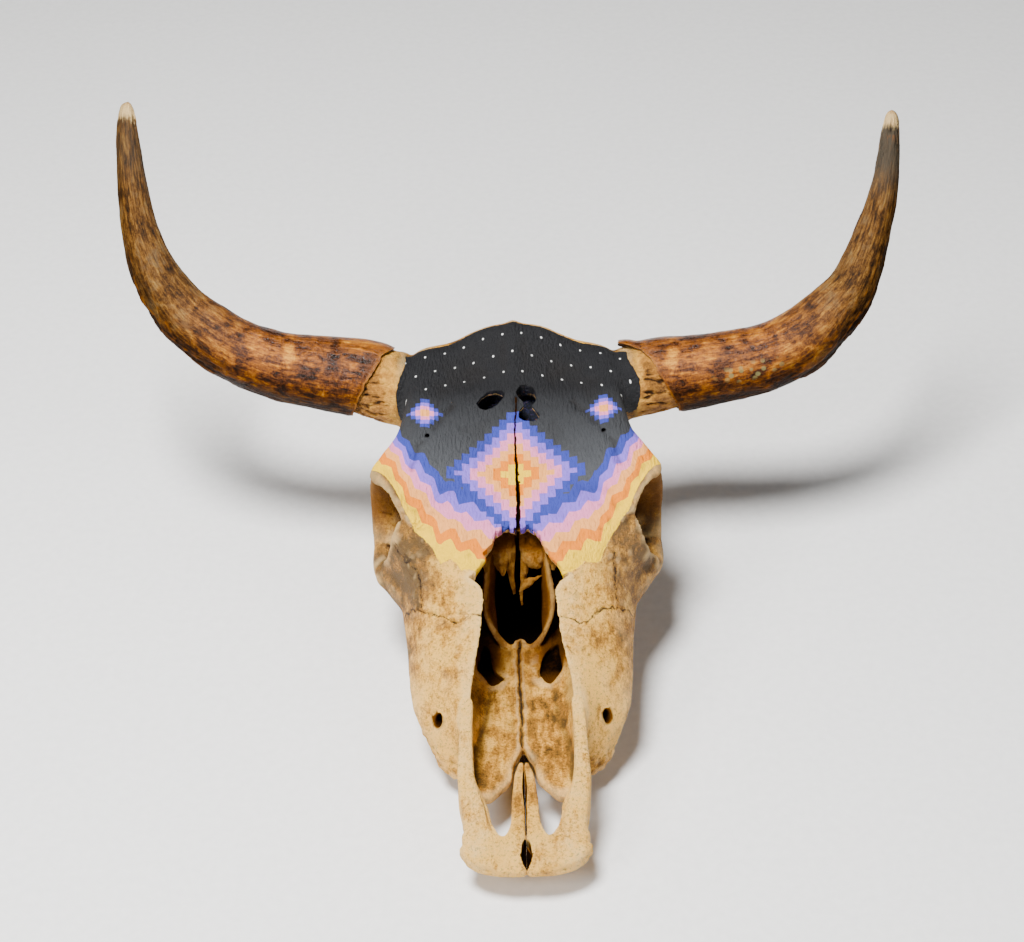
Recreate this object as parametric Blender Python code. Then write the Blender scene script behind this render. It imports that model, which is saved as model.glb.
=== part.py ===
# Skull of an adult cow without its lower jaw, at rest on its cheek teeth and its jugular processes.
# Millimetres in the tables: X to the skull's left, Y back from the nose tip, Z up from the floor.

import math

import bmesh
import bpy
import numpy as np
from mathutils import Matrix, Vector

MM = 0.001
GAP = 0.35  # clear space between two bones or teeth that meet
OUTER_VOXEL = 2.6
INNER_VOXEL = 2.2
INCISIVE_VOXEL = 1.6
SMOOTHING = 3  # passes over a remeshed body
SKULL_TRIANGLES = 5300
INCISIVE_TRIANGLES = 360
SHARP_ANGLE = math.radians(50)

# Colours, roughness and metallic values of the pieces
BONE = ("bone", (0.62, 0.45, 0.27, 1.0), 0.7)
HORN = ("horn", (0.22, 0.10, 0.035, 1.0), 0.4)
ENAMEL = ("tooth enamel", (0.55, 0.42, 0.27, 1.0), 0.35)

# Face, from the diastema back to the front of the orbits. Half outlines (x, z) from the top of the
# midline round the facial crest and the tooth sockets to the middle of the palate.
FACE = [
    (109, [(0, 80), (38, 88), (50, 84), (51, 70), (53, 56),
           (55, 40), (58, 24), (49, 22), (40, 34), (0, 36)]),
    (120, [(0, 88), (40, 93), (51, 88), (57, 74), (65, 58),
           (70, 42), (69, 24), (49, 22), (42, 34), (0, 36)]),
    (134, [(0, 98), (37, 101), (51, 96), (64, 80), (80, 57),
           (78, 40), (72, 24), (50, 22), (44, 34), (0, 36)]),
    (152, [(0, 108), (33, 110), (52, 104), (74, 87), (90, 66),
           (84, 45), (74, 24), (51, 22), (44, 34), (0, 36)]),
    (180, [(0, 122), (30, 123), (54, 116), (79, 97), (93, 72),
           (87, 47), (75, 24), (52, 22), (44, 35), (0, 37)]),
    (210, [(0, 136), (28, 137), (56, 131), (82, 112), (95, 79),
           (89, 52), (76, 24), (52, 22), (44, 36), (0, 38)]),
    (235, [(0, 150), (36, 151), (60, 146), (86, 127), (98, 86),
           (91, 58), (76, 25), (52, 24), (42, 38), (0, 40)]),
    (256, [(0, 157), (44, 158), (70, 155), (97, 141), (103, 98),
           (92, 64), (76, 28), (54, 27), (40, 41), (0, 45)]),
    (270, [(0, 161), (48, 162), (78, 160), (107, 151), (112, 107),
           (92, 70), (72, 38), (53, 34), (38, 48), (0, 52)]),
    (281, [(0, 164), (50, 164), (80, 164), (108, 158), (116, 108),
           (90, 80), (64, 52), (48, 48), (36, 58), (0, 62)]),
]
# Frontal bone, from its front lobes over the orbits to the poll. Half outlines from the top of the
# midline over the brow to the middle of its underside.
FRONTAL = [
    (228, [(0, 146), (20, 148), (36, 149), (46, 146), (44, 138), (30, 134), (0, 130)]),
    (250, [(0, 155), (30, 156), (56, 156), (74, 151), (72, 142), (40, 136), (0, 132)]),
    (275, [(0, 163), (35, 165), (66, 166), (92, 164), (91, 154), (50, 146), (0, 142)]),
    (296, [(0, 170), (40, 172), (75, 174), (106, 177), (105, 167), (60, 154), (0, 148)]),
    (318, [(0, 177), (42, 180), (82, 185), (121, 178), (119, 170), (70, 160), (0, 150)]),
    (338, [(0, 183), (42, 186), (80, 190), (112, 184), (108, 170), (66, 158), (0, 150)]),
    (360, [(0, 190), (40, 192), (70, 193), (99, 189), (96, 164), (66, 156), (0, 150)]),
    (388, [(0, 199), (36, 200), (64, 198), (93, 196), (90, 160), (66, 150), (0, 150)]),
    (415, [(0, 207), (34, 205), (62, 203), (92, 205), (92, 158), (66, 148), (0, 150)]),
    (438, [(0, 217), (30, 213), (58, 209), (90, 209), (90, 158), (60, 145), (0, 145)]),
    (456, [(0, 226), (26, 221), (54, 207), (80, 200), (78, 156), (56, 138), (0, 138)]),
    (468, [(0, 223), (24, 217), (48, 200), (68, 184), (64, 155), (46, 138), (0, 138)]),
]
# Walls of the muzzle on each side: y, outer x, inner x, top z, bottom z
MUZZLE_WALL = [
    (20, 49.5, 20, 46, 30),
    (36, 49, 28, 53, 29),
    (52, 51, 33, 61, 28),
    (70, 53, 39, 70, 28),
    (90, 52, 40.5, 79, 27),
    (112, 51, 40.5, 89, 24),
    (130, 50, 38, 98, 24),
    (146, 50, 33, 106, 30),
]
# Blade at the tip of each incisive bone: y, inner x, outer x, bottom z, top z
INCISIVE_BLADE = [
    (-2.5, 2, 13, 31, 36),
    (0, 0.8, 27, 29, 38),
    (4, 0.7, 38.5, 28, 41),
    (9, 0.7, 46, 28, 43),
    (14, 0.7, 49.8, 29, 45),
    (20, 0.7, 50, 31, 47),
    (26, 0.8, 14, 37, 47),
]
# Palatine process, the narrow prong beside the midline: y, inner x, outer x, bottom z, top z
INCISIVE_PRONG = [
    (18, 0.7, 14, 37, 47),
    (40, 0.8, 12.4, 39, 47),
    (62, 1.3, 11, 39, 47),
    (86, 0.9, 8.2, 39, 47),
    (105, 0.8, 4.2, 40, 46),
]
SUTURE_LOW = (46, 26)  # y, z where the incisive bone's suture meets the lower edge of the muzzle
SUTURE_HIGH = (132, 100)  # and its upper edge
# Block that parts the muzzle along that suture: inner x, width, lead before the lower edge, and size
SUTURE_BLOCK_INNER, SUTURE_BLOCK_WIDTH = 17, 60
SUTURE_BLOCK_LEAD, SUTURE_BLOCK_LENGTH, SUTURE_BLOCK_DEPTH = 80, 300, 140
# Front shelf of the palate: y, inner x, outer x
PALATE_SHELF = [
    (68, 27, 42),
    (75, 20, 43),
    (87, 11, 43),
    (100, 9, 43),
    (109, 6, 43),
    (114, 0, 43),
    (124, 0, 43),
]
PALATE_TOP, PALATE_BOTTOM = 46, 37

# Cheekbone from the face back to the jaw joint: x, y, z, half thickness, half height
CHEEKBONE = [
    (90, 248, 96, 12, 18),
    (105, 268, 97, 10, 13),
    (114, 290, 96, 11, 10),
    (118, 318, 104, 6, 10),
    (113, 346, 109, 5, 9),
    (99, 372, 108, 5, 9),
    (82, 394, 104, 9, 9),
    (60, 404, 104, 9, 10),
]
# Bar behind the orbit, from the brow down to the cheekbone: x, y, z, half depth, half width
ORBIT_BAR = [
    (105, 326, 176, 6, 16),
    (110.5, 328, 152, 5.5, 15.5),
    (111, 325, 128, 5.5, 15),
    (109, 308, 106, 8, 16),
]
ORBIT_CUT = [
    (150, 279, 150, 42, 44),
    (121, 292, 143, 29, 36),
    (98, 301, 138, 27, 32),
    (68, 314, 128, 19, 21),
    (48, 326, 122, 9, 10),
]
# Ridge along the brow that shades the orbit: x, y, z, half width, half height
BROW_RIDGE = [(84, 270, 160, 6, 5), (101, 288, 172, 5, 4), (112, 307, 177, 5, 4), (117, 321, 177, 5, 4)]

# Parts of the braincase and the skull's base: centre, radii
BRAINCASE = [
    ((0, 400, 132), (66, 74, 60)),
    ((0, 322, 118), (43, 78, 44)),
    ((0, 438, 152), (84, 24, 56)),
]
PAIRED_MASSES = [
    ((72, 410, 112), (20, 24, 20)),
    ((62, 436, 112), (20, 17, 28)),
    ((42, 402, 68), (12, 18, 18)),
    ((27, 456, 84), (16, 16, 25)),
]
SKULL_BASE = [
    (0, 312, 88, 14, 12),
    (0, 350, 78, 16, 12),
    (0, 390, 74, 22, 12),
    (0, 430, 74, 28, 13),
    (0, 452, 80, 24, 14),
]
JUGULAR = [
    (54, 438, 104, 15, 12),
    (51, 438, 70, 12, 9),
    (47, 434, 36, 9, 7),
    (44, 429, 10, 7, 6),
    (43, 427, -4, 6, 6),
]
UNDER_FLOOR = [(400, -80, 80, -30, 0), (470, -80, 80, -30, 0)]  # y, low x, high x, low z, high z
EAR_TUBE = [(52, 404, 104, 9, 9), (74, 414, 108, 7, 7), (84, 418, 112, 5, 5)]
SPINAL_HOLE = [(0, 490, 96, 20, 17), (0, 462, 97, 18, 16), (0, 430, 100, 15, 15), (0, 412, 102, 8, 8)]

# Nasal cavity: half outlines of the space inside, and half the outline (x, y) of its open top
NASAL_CAVITY = [
    (60, [(0, 120), (26, 110), (29, 70), (29, 50), (0, 46)]),
    (100, [(0, 130), (38, 120), (38, 66), (32, 49), (0, 45)]),
    (140, [(0, 130), (36, 112), (42, 76), (34, 50), (0, 46)]),
    (180, [(0, 134), (32, 122), (48, 84), (36, 51), (0, 47)]),
    (220, [(0, 142), (38, 134), (50, 90), (36, 54), (0, 48)]),
    (256, [(0, 149), (40, 144), (50, 96), (34, 56), (0, 52)]),
    (296, [(0, 154), (34, 148), (38, 112), (27, 78), (0, 72)]),
    (326, [(0, 146), (20, 140), (24, 118), (18, 98), (0, 92)]),
]
APERTURE = [
    (19, 18),
    (23, 24),
    (28, 36),
    (33, 51),
    (38.5, 70),
    (41, 89),
    (41, 112),
    (38, 129),
    (33, 152),
    (30, 172),
    (29, 190),
    (27.5, 205),
    (32, 216),
    (37, 224),
    (27, 236),
    (21, 250),
    (17, 260),
    (9, 266),
]
APERTURE_ROOF = 260  # above all the bone round it
# y, half width of the hole behind the palate
CHOANA = [
    (238, 9),
    (246, 16),
    (262, 19),
    (300, 18),
    (326, 15),
]
CHOANA_LOW, CHOANA_TOP = 10, 66
# Recess beside the choana, into the hollow palate: x, y, z, half width, half height
PALATE_RECESS = [(24, 197, 62, 7, 18), (27, 210, 61, 9, 19), (30, 232, 62, 8, 19), (31, 248, 64, 6, 16)]
# Thin plate on each side of the choana: y, centre x, half thickness, bottom z, top z
PTERYGOID = [
    (240, 18.5, 2.6, 38, 50),
    (252, 21.5, 2.6, 38, 66),
    (272, 23, 2.6, 36, 88),
    (300, 23, 2.6, 29, 100),
    (322, 20, 3.0, 22, 96),
    (334, 18, 3.4, 24, 90),
]
# Bone that closes the cavity beside that plate: x, y, z, half width, half height
SIDE_WALL = [(37, 256, 68, 9, 12), (37, 280, 78, 11, 15), (34, 305, 88, 11, 15), (28, 330, 98, 10, 14)]
# Broken openings into the frontal sinus: x, y, half width, half length
SINUS_HOLES = [(-20, 389, 12.5, 8.5), (9, 391, 10, 9.5), (14, 374, 9.5, 8)]
SINUS_ROOF = 206  # z of the bone that they break
SINUS_HOLE_DEPTH = 20
INFRAORBITAL = [(80, 116, 76, 5, 7), (64, 138, 66, 4.5, 6.5), (50, 156, 60, 3, 4)]

# Cheek teeth from the second premolar back: name, front y, back y, middle x, half width
TEETH = [
    ("premolar_3", 142, 158.5, 59.5, 7),
    ("premolar_4", 159.5, 177, 61.5, 8),
    ("molar_1", 178, 203, 63, 9),
    ("molar_2", 204, 231.5, 63.5, 9.5),
    ("molar_3", 232.5, 263, 63, 9),
]
LOST_PREMOLAR = (127, 139, 58, 5)  # its empty socket: front y, back y, middle x, half width
LOST_SOCKET_TOP = 30
# Outline of a crown from its chewing face up to the neck, where it is widest, and on to its roots
FACE_EDGE, CROWN_SHOULDER, CROWN_NECK, CROWN_TOP = 0.0, 3, 20, 33
EDGE_SWELL, SHOULDER_SWELL, NECK_SWELL, ROOT_SWELL = -0.8, 0.0, 0.3, -2.2
CROWN_CORNER = 0.22
SOCKET_FOOT = -2

# Swelling of the frontal bone that each horn core grows from: x, y, z, half length, half height
CORE_ROOT = [
    (52, 424, 172, 32, 31),
    (74, 426, 176, 33, 32),
    (92, 428, 179, 34, 32),
    (103, 429, 181, 29, 27),
]
# Axis of each horn from the skull to its tip: x, y, z, core radius (0 past the core), horn radius
HORN_LEFT = [
    (84, 428, 179, 25, 0),
    (99, 429, 181, 31.5, 0),
    (113, 430, 183, 31.5, 0),
    (131, 432, 186, 31, 34.5),
    (152, 432, 188.5, 28, 33.5),
    (184, 432, 193.5, 23.5, 31.5),
    (220, 434, 200.5, 18, 30.5),
    (252, 440, 213.5, 9, 29),
    (280, 452, 235, 0, 25.2),
    (301, 466, 258, 0, 20.6),
    (318, 490, 297, 0, 15.4),
    (328.5, 512, 336, 0, 11.2),
    (332, 532, 372, 0, 7.6),
    (333, 539, 386, 0, 4),
]
HORN_RIGHT = [
    (-84, 428, 179, 25, 0),
    (-99, 429, 181, 32, 0),
    (-113, 431, 184, 32, 0),
    (-132, 434, 190, 31.5, 35.5),
    (-170, 436, 196.5, 27, 32.6),
    (-205, 438, 203.5, 22, 30),
    (-241, 444, 216, 16, 28.6),
    (-266, 451, 231, 7, 27.5),
    (-289, 462, 248, 0, 25),
    (-311, 481, 278, 0, 20.4),
    (-323, 504, 315, 0, 15.4),
    (-328, 533, 365, 0, 11),
    (-328, 550, 395, 0, 7),
    (-326, 555, 405, 0, 3.6),
]
CORE_RADIUS, HORN_RADIUS = 3, 4  # columns of the tables above
HORN_SIDES = 18
CORE_END_GAP = 2
HORN_PLANE_NORMAL = Vector((0, 0.766, -0.643))


def clear_scene():
    for old in list(bpy.data.objects):
        bpy.data.objects.remove(old)


def material(spec):
    name, colour, roughness = spec
    found = bpy.data.materials.get(name)
    if found:
        return found
    made = bpy.data.materials.new(name)
    made.use_nodes = True
    shader = made.node_tree.nodes["Principled BSDF"]
    shader.inputs["Base Color"].default_value = colour
    shader.inputs["Roughness"].default_value = roughness
    shader.inputs["Metallic"].default_value = 0.0
    return made


def smooth_points(points, steps):
    """The points of an open curve through the given ones, with this many steps between two."""
    given = np.array(points, float)
    ends = np.concatenate([[2 * given[0] - given[1]], given, [2 * given[-1] - given[-2]]])
    found = []
    for before, start, end, after in zip(ends, ends[1:], ends[2:], ends[3:]):
        for step in range(steps):
            t = step / steps
            bend = 2 * before - 5 * start + 4 * end - after
            twist = 3 * start - before - 3 * end + after
            found.append(0.5 * (2 * start + (end - before) * t + bend * t * t + twist * t**3))
    found.append(given[-1])
    return found


def new_object(name, mesh):
    made = bpy.data.objects.new(name, mesh)
    bpy.context.scene.collection.objects.link(made)
    return made


def skin(name, rings):
    """One closed body through rings of points in millimetres, each with its two ends filled."""
    shape = bmesh.new()
    rows = [[shape.verts.new(Vector(point) * MM) for point in ring] for ring in rings]
    for near, far in zip(rows, rows[1:]):
        for i in range(len(near)):
            j = (i + 1) % len(near)
            shape.faces.new((near[i], near[j], far[j], far[i]))
    shape.faces.new(rows[0])
    shape.faces.new(rows[-1])
    bmesh.ops.recalc_face_normals(shape, faces=shape.faces)
    mesh = bpy.data.meshes.new(name)
    shape.to_mesh(mesh)
    shape.free()
    return new_object(name, mesh)


def loft(name, stations, along=3, around=3):
    """A body that is the same on both sides, through half outlines (x, z) at each y."""
    outlines = [[(x, y, z) for x, z in outline] for y, outline in stations]
    rings = []
    for outline in smooth_points(outlines, along):
        half = smooth_points(outline, around)
        half[0][0] = half[-1][0] = 0
        mirrored = [(-x, y, z) for x, y, z in reversed(half[1:-1])]
        rings.append([tuple(point) for point in half] + mirrored)
    return skin(name, rings)


def slab(name, stations, along=3):
    """A body of rounded rectangles at each y: y, low x, high x, low z, high z."""
    rings = []
    for y, x0, x1, z0, z1 in smooth_points(stations, along):
        rings.append(rounded_rectangle((x0, x1), (z0, z1), lambda x, z, y=y: (x, y, z)))
    return skin(name, rings)


def rounded_rectangle(across, up, place, corner=0.3):
    """Twelve points round a rectangle whose corners are cut back by this share of its short side."""
    (x0, x1), (z0, z1) = across, up
    cut = corner * min(x1 - x0, z1 - z0)
    soft = cut * (1 - math.sqrt(0.5))
    points = [(x0 + cut, z0), (x1 - cut, z0), (x1 - soft, z0 + soft), (x1, z0 + cut), (x1, z1 - cut)]
    points += [(x1 - soft, z1 - soft), (x1 - cut, z1), (x0 + cut, z1), (x0 + soft, z1 - soft)]
    points += [(x0, z1 - cut), (x0, z0 + cut), (x0 + soft, z0 + soft)]
    return [place(x, z) for x, z in points]


def rings_round(path, normal, sides, steps):
    """Elliptic rings along a smooth path: x, y, z, radius across the normal, radius along it."""
    points = smooth_points(path, steps)
    rings = []
    for i, point in enumerate(points):
        ahead = points[min(i + 1, len(points) - 1)]
        behind = points[max(i - 1, 0)]
        along = Vector((ahead - behind)[:3]).normalized()
        across = along.cross(normal).normalized()
        up = across.cross(along)
        centre = Vector(point[:3])
        ring = []
        for k in range(sides):
            angle = 2 * math.pi * k / sides
            ring.append(centre + across * (point[3] * math.cos(angle)) + up * (point[4] * math.sin(angle)))
        rings.append(ring)
    return rings


def tube(name, path, normal=(0, 0, 1), sides=18, steps=4):
    return skin(name, rings_round(path, Vector(normal), sides, steps))


def ellipsoid(name, centre, radii):
    shape = bmesh.new()
    place = Matrix.Translation(Vector(centre) * MM) @ Matrix.Diagonal((*[r * MM for r in radii], 1))
    bmesh.ops.create_icosphere(shape, subdivisions=4, radius=1, matrix=place)
    mesh = bpy.data.meshes.new(name)
    shape.to_mesh(mesh)
    shape.free()
    return new_object(name, mesh)


def both_sides(path):
    """The path and its mirror image on the skull's other side."""
    return [path, [(-x, *rest) for x, *rest in path]]


def joined(name, pieces):
    """One mesh that holds all the pieces, which are then removed."""
    shape = bmesh.new()
    for piece in pieces:
        shape.from_mesh(piece.data)
        bpy.data.objects.remove(piece)
    mesh = bpy.data.meshes.new(name)
    shape.to_mesh(mesh)
    shape.free()
    return new_object(name, mesh)


def apply_modifiers(piece):
    bpy.context.view_layer.update()
    evaluated = piece.evaluated_get(bpy.context.evaluated_depsgraph_get())
    mesh = bpy.data.meshes.new_from_object(evaluated)
    piece.modifiers.clear()
    piece.data = mesh
    return piece


def remeshed(piece, voxel):
    """The outer skin of all that the piece holds, as one even mesh."""
    skin_over = piece.modifiers.new("one skin", "REMESH")
    skin_over.mode = "VOXEL"
    skin_over.voxel_size = voxel * MM
    return apply_modifiers(piece)


def softened(piece, passes, factor=0.5):
    soft = piece.modifiers.new("softened", "SMOOTH")
    soft.factor = factor
    soft.iterations = passes
    return apply_modifiers(piece)


def boolean(piece, other, operation):
    step = piece.modifiers.new(operation.lower(), "BOOLEAN")
    step.operation = operation
    step.solver = "EXACT"
    step.object = other
    apply_modifiers(piece)
    bpy.data.objects.remove(other)
    return piece


def largest_piece(piece):
    """Drops the loose crumbs that a cut leaves, and keeps the one main body."""
    shape = bmesh.new()
    shape.from_mesh(piece.data)
    groups = []
    seen = set()
    for start in shape.verts:
        if start in seen:
            continue
        group = [start]
        seen.add(start)
        for vert in group:
            for edge in vert.link_edges:
                other = edge.other_vert(vert)
                if other not in seen:
                    seen.add(other)
                    group.append(other)
        groups.append(group)
    groups.sort(key=len)
    for group in groups[:-1]:
        bmesh.ops.delete(shape, geom=group, context="VERTS")
    shape.to_mesh(piece.data)
    shape.free()
    return piece


def decimated(piece, triangles):
    count = sum(len(face.vertices) - 2 for face in piece.data.polygons)
    fewer = piece.modifiers.new("fewer faces", "DECIMATE")
    fewer.ratio = triangles / count
    fewer.use_collapse_triangulate = True
    return apply_modifiers(piece)


def finished(piece, spec):
    piece.data.materials.clear()
    piece.data.materials.append(material(spec))
    piece.data.shade_smooth()
    piece.data.set_sharp_from_angle(angle=SHARP_ANGLE)
    return piece


def muzzle_walls():
    walls = []
    for side in (1, -1):
        stations = []
        for y, outer, inner, top, bottom in MUZZLE_WALL:
            low, high = sorted((side * inner, side * outer))
            stations.append((y, low, high, bottom, top))
        walls.append(slab("muzzle wall", stations))
    return walls


def beyond_suture(side, above, gap):
    """A block past the slanting suture, on one side of the muzzle, above it or below it."""
    (y0, z0), (y1, z1) = SUTURE_LOW, SUTURE_HIGH
    run = Vector((0, y1 - y0, z1 - z0)).normalized()
    rise = Vector((0, -run.z, run.y))
    away = rise if above else -rise
    near = Vector((side * SUTURE_BLOCK_INNER, y0, z0)) - run * SUTURE_BLOCK_LEAD - away * gap
    far = near + run * SUTURE_BLOCK_LENGTH
    width = Vector((side * SUTURE_BLOCK_WIDTH, 0, 0))
    depth = away * SUTURE_BLOCK_DEPTH
    rings = [[start, start + width, start + width + depth, start + depth] for start in (near, far)]
    return skin("beyond suture", rings)


def tooth(name, front, back, middle, half_width, grow=0.0, foot=FACE_EDGE, top=CROWN_TOP):
    """A crown with a flat chewing face, or the socket that it grows in."""
    sections = [(foot, EDGE_SWELL), (CROWN_SHOULDER, SHOULDER_SWELL)]
    sections += [(CROWN_NECK, NECK_SWELL), (top + grow, ROOT_SWELL)]
    rings = []
    for z, swell in sections:
        by = swell + grow
        across = (middle - half_width - by, middle + half_width + by)
        length = (front - grow + max(-swell, 0), back + grow - max(-swell, 0))
        rings.append(rounded_rectangle(across, length, lambda x, y, z=z: (x, y, z), CROWN_CORNER))
    return skin(name, rings)


def horn(name, axis):
    """The hollow horn: its outside from rim to tip, then its bore down to the end of the core."""
    outside = [ring for ring, row in zip(axis_rings(axis, HORN_RADIUS, 0), axis) if row[HORN_RADIUS]]
    bore = zip(axis_rings(axis, CORE_RADIUS, GAP), axis)
    inside = [ring for ring, row in bore if row[CORE_RADIUS] and row[HORN_RADIUS]]
    return skin(name, list(reversed(outside)) + inside)


def axis_rings(axis, column, gap):
    """A ring round each point of a horn's axis, with its radius from this column of the table."""
    path = [(*row[:3], row[column] + gap, row[column] + gap) for row in axis]
    return rings_round(path, HORN_PLANE_NORMAL, HORN_SIDES, 1)


def horn_core(axis):
    rings = [ring for ring, row in zip(axis_rings(axis, CORE_RADIUS, 0), axis) if row[CORE_RADIUS]]
    last, before = rings[-1], rings[-2]
    back = (sum(before, Vector()) - sum(last, Vector())) / len(last)
    rings[-1] = [point + back.normalized() * CORE_END_GAP for point in last]
    return skin("horn core", rings)


def skull_outside():
    masses = [loft("face", FACE), loft("frontal", FRONTAL), *muzzle_walls()]
    masses += [ellipsoid("braincase", centre, radii) for centre, radii in BRAINCASE]
    masses.append(tube("skull base", SKULL_BASE))
    for (x, y, z), radii in PAIRED_MASSES:
        masses += [ellipsoid("paired mass", (side * x, y, z), radii) for side in (1, -1)]
    for path in (CHEEKBONE, EAR_TUBE, BROW_RIDGE, CORE_ROOT):
        masses += [tube("paired tube", one) for one in both_sides(path)]
    masses += [tube("jugular process", one, normal=(0, 1, 0)) for one in both_sides(JUGULAR)]
    return remeshed(joined("skull", masses), OUTER_VOXEL)


def skull_hollows():
    """The nasal cavity with its open top, the orbits and the spinal hole, as one cutter."""
    hollows = [loft("nasal cavity", NASAL_CAVITY), tube("spinal hole", SPINAL_HOLE)]
    column = []
    for z in (PALATE_TOP, APERTURE_ROOF):
        half = [(x, y, z) for x, y in APERTURE]
        column.append(half + [(-x, y, z) for x, y, z in reversed(half)])
    hollows.append(skin("aperture", column))
    for one in both_sides(ORBIT_CUT):
        hollows.append(tube("orbit", one, sides=24))
    return remeshed(joined("hollows", hollows), INNER_VOXEL)


def palate_holes():
    holes = [tube("recess", one) for one in both_sides(PALATE_RECESS)]
    holes += [tube("infraorbital", one) for one in both_sides(INFRAORBITAL)]
    holes.append(slab("choana", [(y, -half, half, CHOANA_LOW, CHOANA_TOP) for y, half in CHOANA]))
    for x, y, half_width, half_length in SINUS_HOLES:
        radii = (half_width, half_length, SINUS_HOLE_DEPTH)
        holes.append(ellipsoid("sinus hole", (x, y, SINUS_ROOF), radii))
    return remeshed(joined("palate holes", holes), INNER_VOXEL)


def inner_bones():
    bones = []
    for side in (1, -1):
        plate = []
        for y, x, half, low, high in PTERYGOID:
            plate.append((y, side * x - half, side * x + half, low, high))
        bones.append(slab("pterygoid", plate))
        shelf = []
        for y, inner, outer in PALATE_SHELF:
            low, high = sorted((side * inner, side * outer))
            shelf.append((y, low, high, PALATE_BOTTOM, PALATE_TOP))
        bones.append(slab("palate shelf", shelf))
    bones += [tube("orbit bar", one, normal=(1, 0, 0)) for one in both_sides(ORBIT_BAR)]
    bones += [tube("side wall", one) for one in both_sides(SIDE_WALL)]
    return bones


def make_skull():
    body = boolean(skull_outside(), skull_hollows(), "DIFFERENCE")
    body = remeshed(joined("skull", [body, *inner_bones()]), INNER_VOXEL)
    body = boolean(body, palate_holes(), "DIFFERENCE")
    body = remeshed(body, INNER_VOXEL)
    body = softened(largest_piece(body), SMOOTHING)
    body = decimated(largest_piece(body), SKULL_TRIANGLES)
    for axis in (HORN_LEFT, HORN_RIGHT):
        boolean(body, horn_core(axis), "UNION")
    for side in (1, -1):
        boolean(body, beyond_suture(side, True, GAP / 2), "DIFFERENCE")
        for name, front, back, middle, half_width in TEETH:
            socket = tooth("socket", front, back, side * middle, half_width, GAP, SOCKET_FOOT)
            boolean(body, socket, "DIFFERENCE")
        front, back, middle, half_width = LOST_PREMOLAR
        empty = tooth("socket", front, back, side * middle, half_width, GAP, SOCKET_FOOT, LOST_SOCKET_TOP)
        boolean(body, empty, "DIFFERENCE")
    boolean(body, slab("under floor", UNDER_FLOOR, 1), "DIFFERENCE")
    return finished(largest_piece(body), BONE)


def make_incisive(name, side):
    def sided(rows):
        return [(y, *sorted((side * inner, side * outer)), low, high) for y, inner, outer, low, high in rows]

    wall = muzzle_walls()
    keep, drop = (wall[0], wall[1]) if side > 0 else (wall[1], wall[0])
    bpy.data.objects.remove(drop)
    bone = joined(name, [slab("blade", sided(INCISIVE_BLADE)), slab("prong", sided(INCISIVE_PRONG)), keep])
    bone = softened(remeshed(bone, INCISIVE_VOXEL), SMOOTHING)
    bone = decimated(bone, INCISIVE_TRIANGLES)
    boolean(bone, beyond_suture(side, False, GAP / 2), "DIFFERENCE")
    return finished(largest_piece(bone), BONE)


def make_part():
    clear_scene()
    pieces = [make_skull()]
    for side, word, axis in ((1, "left", HORN_LEFT), (-1, "right", HORN_RIGHT)):
        pieces.append(make_incisive(f"incisive_bone_{word}", side))
        pieces.append(finished(horn(f"horn_sheath_{word}", axis), HORN))
        for name, front, back, middle, half_width in TEETH:
            crown = tooth(f"{name}_{word}", front, back, side * middle, half_width)
            pieces.append(finished(crown, ENAMEL))
    stand_on_origin(pieces)


def stand_on_origin(pieces):
    """Hangs every piece on one empty, so that the middle of the whole footprint is the origin."""
    corners = np.array([vert.co for piece in pieces for vert in piece.data.vertices])
    low, high = corners.min(axis=0), corners.max(axis=0)
    rest = bpy.data.objects.new("rest", None)
    bpy.context.scene.collection.objects.link(rest)
    rest.location = (-(low[0] + high[0]) / 2, -(low[1] + high[1]) / 2, -low[2])
    for piece in pieces:
        piece.parent = rest


make_part()
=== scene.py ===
# A weathered cow skull with horns and a painted forehead, dressed around its measured frame.
# Lengths in the dictionaries are millimetres in the skull's own frame: x to its left, y back from
# the nose tip, z up from the table. inFrame() puts them, in metres, where the frame's solids are.
import math
import bpy
import numpy as np
from mathutils import Matrix, Vector


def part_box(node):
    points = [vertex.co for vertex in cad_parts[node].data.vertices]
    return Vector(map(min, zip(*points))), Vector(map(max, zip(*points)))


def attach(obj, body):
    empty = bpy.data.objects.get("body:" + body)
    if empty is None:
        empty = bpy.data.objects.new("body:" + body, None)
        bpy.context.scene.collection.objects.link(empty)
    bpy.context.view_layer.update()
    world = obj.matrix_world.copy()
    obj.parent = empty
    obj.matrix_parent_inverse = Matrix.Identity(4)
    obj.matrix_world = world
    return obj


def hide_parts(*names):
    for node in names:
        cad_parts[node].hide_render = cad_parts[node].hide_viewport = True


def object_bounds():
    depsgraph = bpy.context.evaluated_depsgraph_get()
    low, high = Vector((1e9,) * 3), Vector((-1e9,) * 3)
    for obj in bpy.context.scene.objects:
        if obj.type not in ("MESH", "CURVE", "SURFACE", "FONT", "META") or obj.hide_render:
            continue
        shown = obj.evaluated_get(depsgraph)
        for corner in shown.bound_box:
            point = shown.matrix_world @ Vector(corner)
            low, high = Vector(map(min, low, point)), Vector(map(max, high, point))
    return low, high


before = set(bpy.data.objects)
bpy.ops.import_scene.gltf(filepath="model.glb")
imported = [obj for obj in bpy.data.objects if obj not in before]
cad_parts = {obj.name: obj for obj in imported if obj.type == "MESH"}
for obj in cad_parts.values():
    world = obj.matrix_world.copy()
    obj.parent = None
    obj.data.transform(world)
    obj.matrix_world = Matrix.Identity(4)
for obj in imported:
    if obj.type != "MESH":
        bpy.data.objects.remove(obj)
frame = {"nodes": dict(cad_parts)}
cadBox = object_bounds()

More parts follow.
